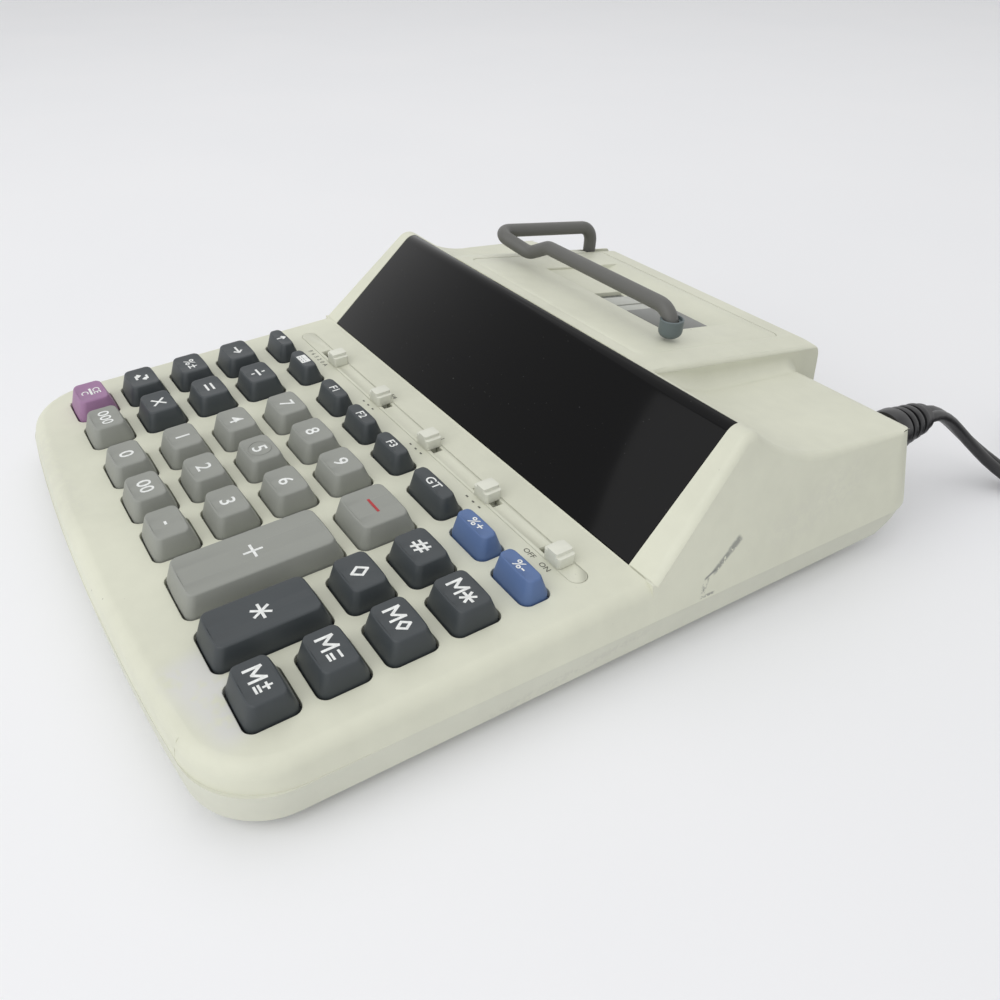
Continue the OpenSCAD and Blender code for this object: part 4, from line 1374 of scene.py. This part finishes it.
        bmesh.ops.recalc_face_normals(flange.bm, faces=flange.bm.faces)
        bmesh.ops.recalc_face_normals(bm, faces=bm.faces)
        return form.add(flange)

    def _legend(self, key: Key) -> Form:
        """Sets the key's legend and lays it on the dish.

        Args:
            key: The key.

        Returns:
            The legend.
        """
        form = Form()
        for sign, size, at in key.legend:
            if isinstance(sign, Mark):
                form.add(sign.form(self.stroke * (1.0 if size > 0.7 else 0.8), size, at))
            else:
                form.add(lettering(sign, size, at, bold=0.012))
        for vert in form.bm.verts:
            vert.co.z = self.height - self._sunk(key, vert.co.x) + 0.04
        return form

    def _ring(self, key: Key) -> Form:
        """Raised ring round the middle figure, felt by a finger."""
        form = Form()
        bmesh.ops.create_circle(form.bm, cap_ends=False, radius=0.16, segments=8)
        route = [
            Vector((3.6 * math.cos(a), 3.3 * math.sin(a), self.height - self._sunk(key, 3.6 * math.cos(a)) + 0.02))
            for a in (2 * math.pi * i / 48 for i in range(49))]
        sweep(form, route)
        return form


# Switches


@dataclass
class SwitchStrip:
    """Inlaid strip with five slide switches and their printed marks."""

    paint: Paint
    middle: float = -9.0
    length: float = 160.6
    width: float = 5.6
    knobs: tuple[tuple[str, float], ...] = (
        ("knob_decimal", -53.5), ("knob_rounding", -22.2), ("knob_total", 8.0), ("knob_print", 39.0),
        ("knob_power", 70.6))

    def build(self) -> None:
        """Makes the strip, its painted shade outline, the knobs and the marks."""
        form = Form.of_node("switch_panel").flatten(1.0).soften(0.12, 60, 1)
        form.add(self._outline(), 1)
        form.piece("strip", [self.paint.case, self.paint.joint_shade], "case", "switch_panel", "case")
        for node, _ in self.knobs:
            knob = Form.of_node(node).flatten(1.0).soften(0.35, 50, 3)
            knob.piece(node + "_grip", [self.paint.knob], node + "_body", node, "knob")
        self._marks()

    def _outline(self) -> Form:
        """Thin dark line of painted shade in the joint round the strip, where the gap's shadow falls."""
        form = Form()
        rounded_plate(form, self.length + 0.25, self.width + 0.25, self.width / 2 + 0.05, steps=12)
        face = form.bm.faces[:][0]
        bmesh.ops.inset_region(form.bm, faces=[face], thickness=0.4, use_even_offset=True)
        bmesh.ops.delete(form.bm, geom=[max(form.bm.faces, key=lambda f: f.calc_area())], context="FACES_ONLY")
        form.turn(Matrix.Translation((0, self.middle, 0.03)))
        return form.turn(Matrix.Scale(1 / MM, 4) @ DECK.matrix())

    def _marks(self) -> None:
        """Prints the small position marks beside the strip."""
        below, above = self.middle - 4.6, self.middle + 4.6
        texts = [("F", -68.5), ("6", -66), ("3", -63.6), ("2", -61.2), ("0", -58.8), ("A", -56.4)]
        form = Form()
        for text, x in texts:
            form.add(lettering(text, 1.5, (x + 2, below)))
        for x in (-25.2, -22.2, -19.2, 5, 8, 11, 36, 39, 42):
            form.add(Mark.DOT.form(0.5, 0.6, (x, below)))
        for text, x, y in (("OFF", 64.6, below), ("ON", 70.8, below), ("5/4", -22.2, above), ("I", 8, above)):
            form.add(lettering(text, 1.5, (x, y)))
        for vert in form.bm.verts:
            vert.co.z = 0.03
        form.turn(Matrix.Scale(1 / MM, 4) @ DECK.matrix())
        form.piece("strip_marks", [self.paint.ink], "case", slot="knob")


# Printer


@dataclass
class Printer:
    """Cover with the paper slot, and the mechanism that shows in it."""

    paint: Paint
    slot: tuple[float, float, float, float] = (-34.95, 23.9, 29.4, 47.9)
    gap: float = -16.0

    def build(self) -> None:
        """Dresses the cover, the frame and the rollers."""
        left, right, front, rear = self.slot
        cover = Form.of_node("printer_cover", 0.01).flatten(0.6).soften(0.3, 50)
        cover.add(self._block(left, self.gap, front - 0.9, rear, -0.7, 3.4, 2.2))
        cover.piece("cover", [self.paint.case], "case", "printer_cover", "case")
        bar = self._block(5.4, right, front, rear, -0.5, 4.0)
        bar.add(self._block(self.gap, 5.4, front + 3, rear, -4.2, 0.8))
        bar.piece("tear_bar", [self.paint.bar], "case", slot="arm")
        wheels = self._block(-7.5, -1.6, front, rear - 4, -1.2, 2.2, 0.3)
        wheels.add(self._block(-0.6, 4.6, front + 0.6, rear - 4, -1.4, 2.0, 0.3))
        wheels.piece("wheel_guard", [self.paint.wheel], "case", slot="knob")
        frame = Form.of_node("printer_frame").flatten(0.6).soften(0.25, 60)
        frame.piece("mechanism_frame", [self.paint.module], "case", "printer_frame", "steel")
        for node, body, material in (
                ("feed_roller", "feed", self.paint.rubber), ("ink_roller", "ink", self.paint.ink_pad)):
            form = Form.of_node(node).flatten(0.6).soften(0.3, 60)
            form.piece(node + "_sleeve", [material], body, node, "roller" if node == "feed_roller" else "ink")

    def _block(
        self, left: float, right: float, front: float, rear: float, top: float, thick: float, drop: float = 0.0
    ) -> Form:
        """Flat block below the slot, square to the hump.

        Args:
            left: Its left end.
            right: Its right end.
            front: Its front along the hump.
            rear: Its rear along the hump.
            top: Height of its top over the hump.
            thick: Its thickness.
            drop: How far its right end leans down.

        Returns:
            The block.
        """
        form = Form()
        size = (right - left, rear - front, thick)
        place = Vector(((left + right) / 2, (front + rear) / 2, top - thick / 2))
        bmesh.ops.create_cube(form.bm, size=1.0, matrix=Matrix.Translation(place) @ Matrix.Diagonal((*size, 1)))
        form.soften(0.2, 60)
        for vert in form.bm.verts:
            vert.co.z -= drop * (vert.co.x - left) / (right - left)
        return form.turn(Matrix.Scale(1 / MM, 4) @ HUMP.matrix())


# Paper arm


@dataclass
class PaperArm:
    """Bent rod that swings up to carry the paper roll."""

    paint: Paint
    rod: float = 4.6
    corners: tuple[Point, ...] = (
        (-52.3, 99, 36.5), (-52.3, 99, 52), (-52.3, 54.4, 58.6), (-38.6, 59.6, 54), (-29.5, 60.3, 58.6),
        (30, 60.3, 58.6), (30, 60.3, 52.2))
    bends: tuple[float, ...] = (0, 6, 4, 5, 5, 6, 0)
    cap: float = 7.0
    cap_low: float = 50.2
    cap_height: float = 5.2

    def build(self) -> None:
        """Makes the rod with its hinge and the end cap."""
        form = Form()
        bmesh.ops.create_circle(form.bm, cap_ends=False, radius=self.rod / 2, segments=24)
        sweep(form, rounded_route(self.corners, self.bends, 10))
        for radius, low, high in ((3.2, -55.0, -49.6), (2.5, -50.0, -42.6)):
            form.add(self._barrel(radius, low, high))
        form.add(self._end_cap(), 1)
        form.piece("arm_rod", [self.paint.arm, self.paint.cap], "arm", "paper_arm", "arm", 40)

    def _barrel(self, radius: float, low: float, high: float) -> Form:
        """Round bar of the hinge along X."""
        form = Form()
        bmesh.ops.create_cone(
            form.bm, cap_ends=True, segments=32, radius1=radius, radius2=radius, depth=high - low,
            matrix=Matrix.Translation(((low + high) / 2, self.corners[0][1], self.corners[0][2]))
            @ Matrix.Rotation(math.pi / 2, 4, "Y"))
        return form.soften(0.3, 60)

    def _end_cap(self) -> Form:
        """Turns the end cap from its outline."""
        form = Form()
        half, top = self.cap / 2, self.cap_height
        outline = (
            (0.0, 0.0), (half - 2.0, 0.08), (half - 1.2, 0.36), (half - 0.55, 0.85), (half - 0.15, 1.5), (half, 2.2),
            (half, top + 0.5), (half - 0.12, top + 0.62), (half - 0.5, top + 0.66), (half - 0.62, top + 0.5),
            (half - 0.7, top - 0.2), (self.rod / 2 - 0.2, top - 0.2))
        verts = [form.bm.verts.new((x, 0, z)) for x, z in outline]
        edges = [form.bm.edges.new(pair) for pair in zip(verts, verts[1:])]
        bmesh.ops.spin(
            form.bm, geom=[*verts, *edges], cent=(0, 0, 0), axis=(0, 0, 1), angle=2 * math.pi, steps=40,
            use_merge=True)
        bmesh.ops.remove_doubles(form.bm, verts=form.bm.verts, dist=1e-4)
        bmesh.ops.recalc_face_normals(form.bm, faces=form.bm.faces)
        end = self.corners[-1]
        return form.turn(Matrix.Translation((end[0], end[1], self.cap_low)))


def main() -> None:
    """Builds the calculator round its CAD frame."""
    logging.basicConfig(level=logging.INFO, format="%(name)s %(message)s")
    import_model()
    paint = Paint()
    Studio().build()
    MainsLead(paint).build()
    CaseShell(paint).build()
    DisplayPanel(paint).build()
    SwitchStrip(paint).build()
    KeyBank(paint).build()
    Printer(paint).build()
    PaperArm(paint).build()


if __name__ == "__main__":
    main()
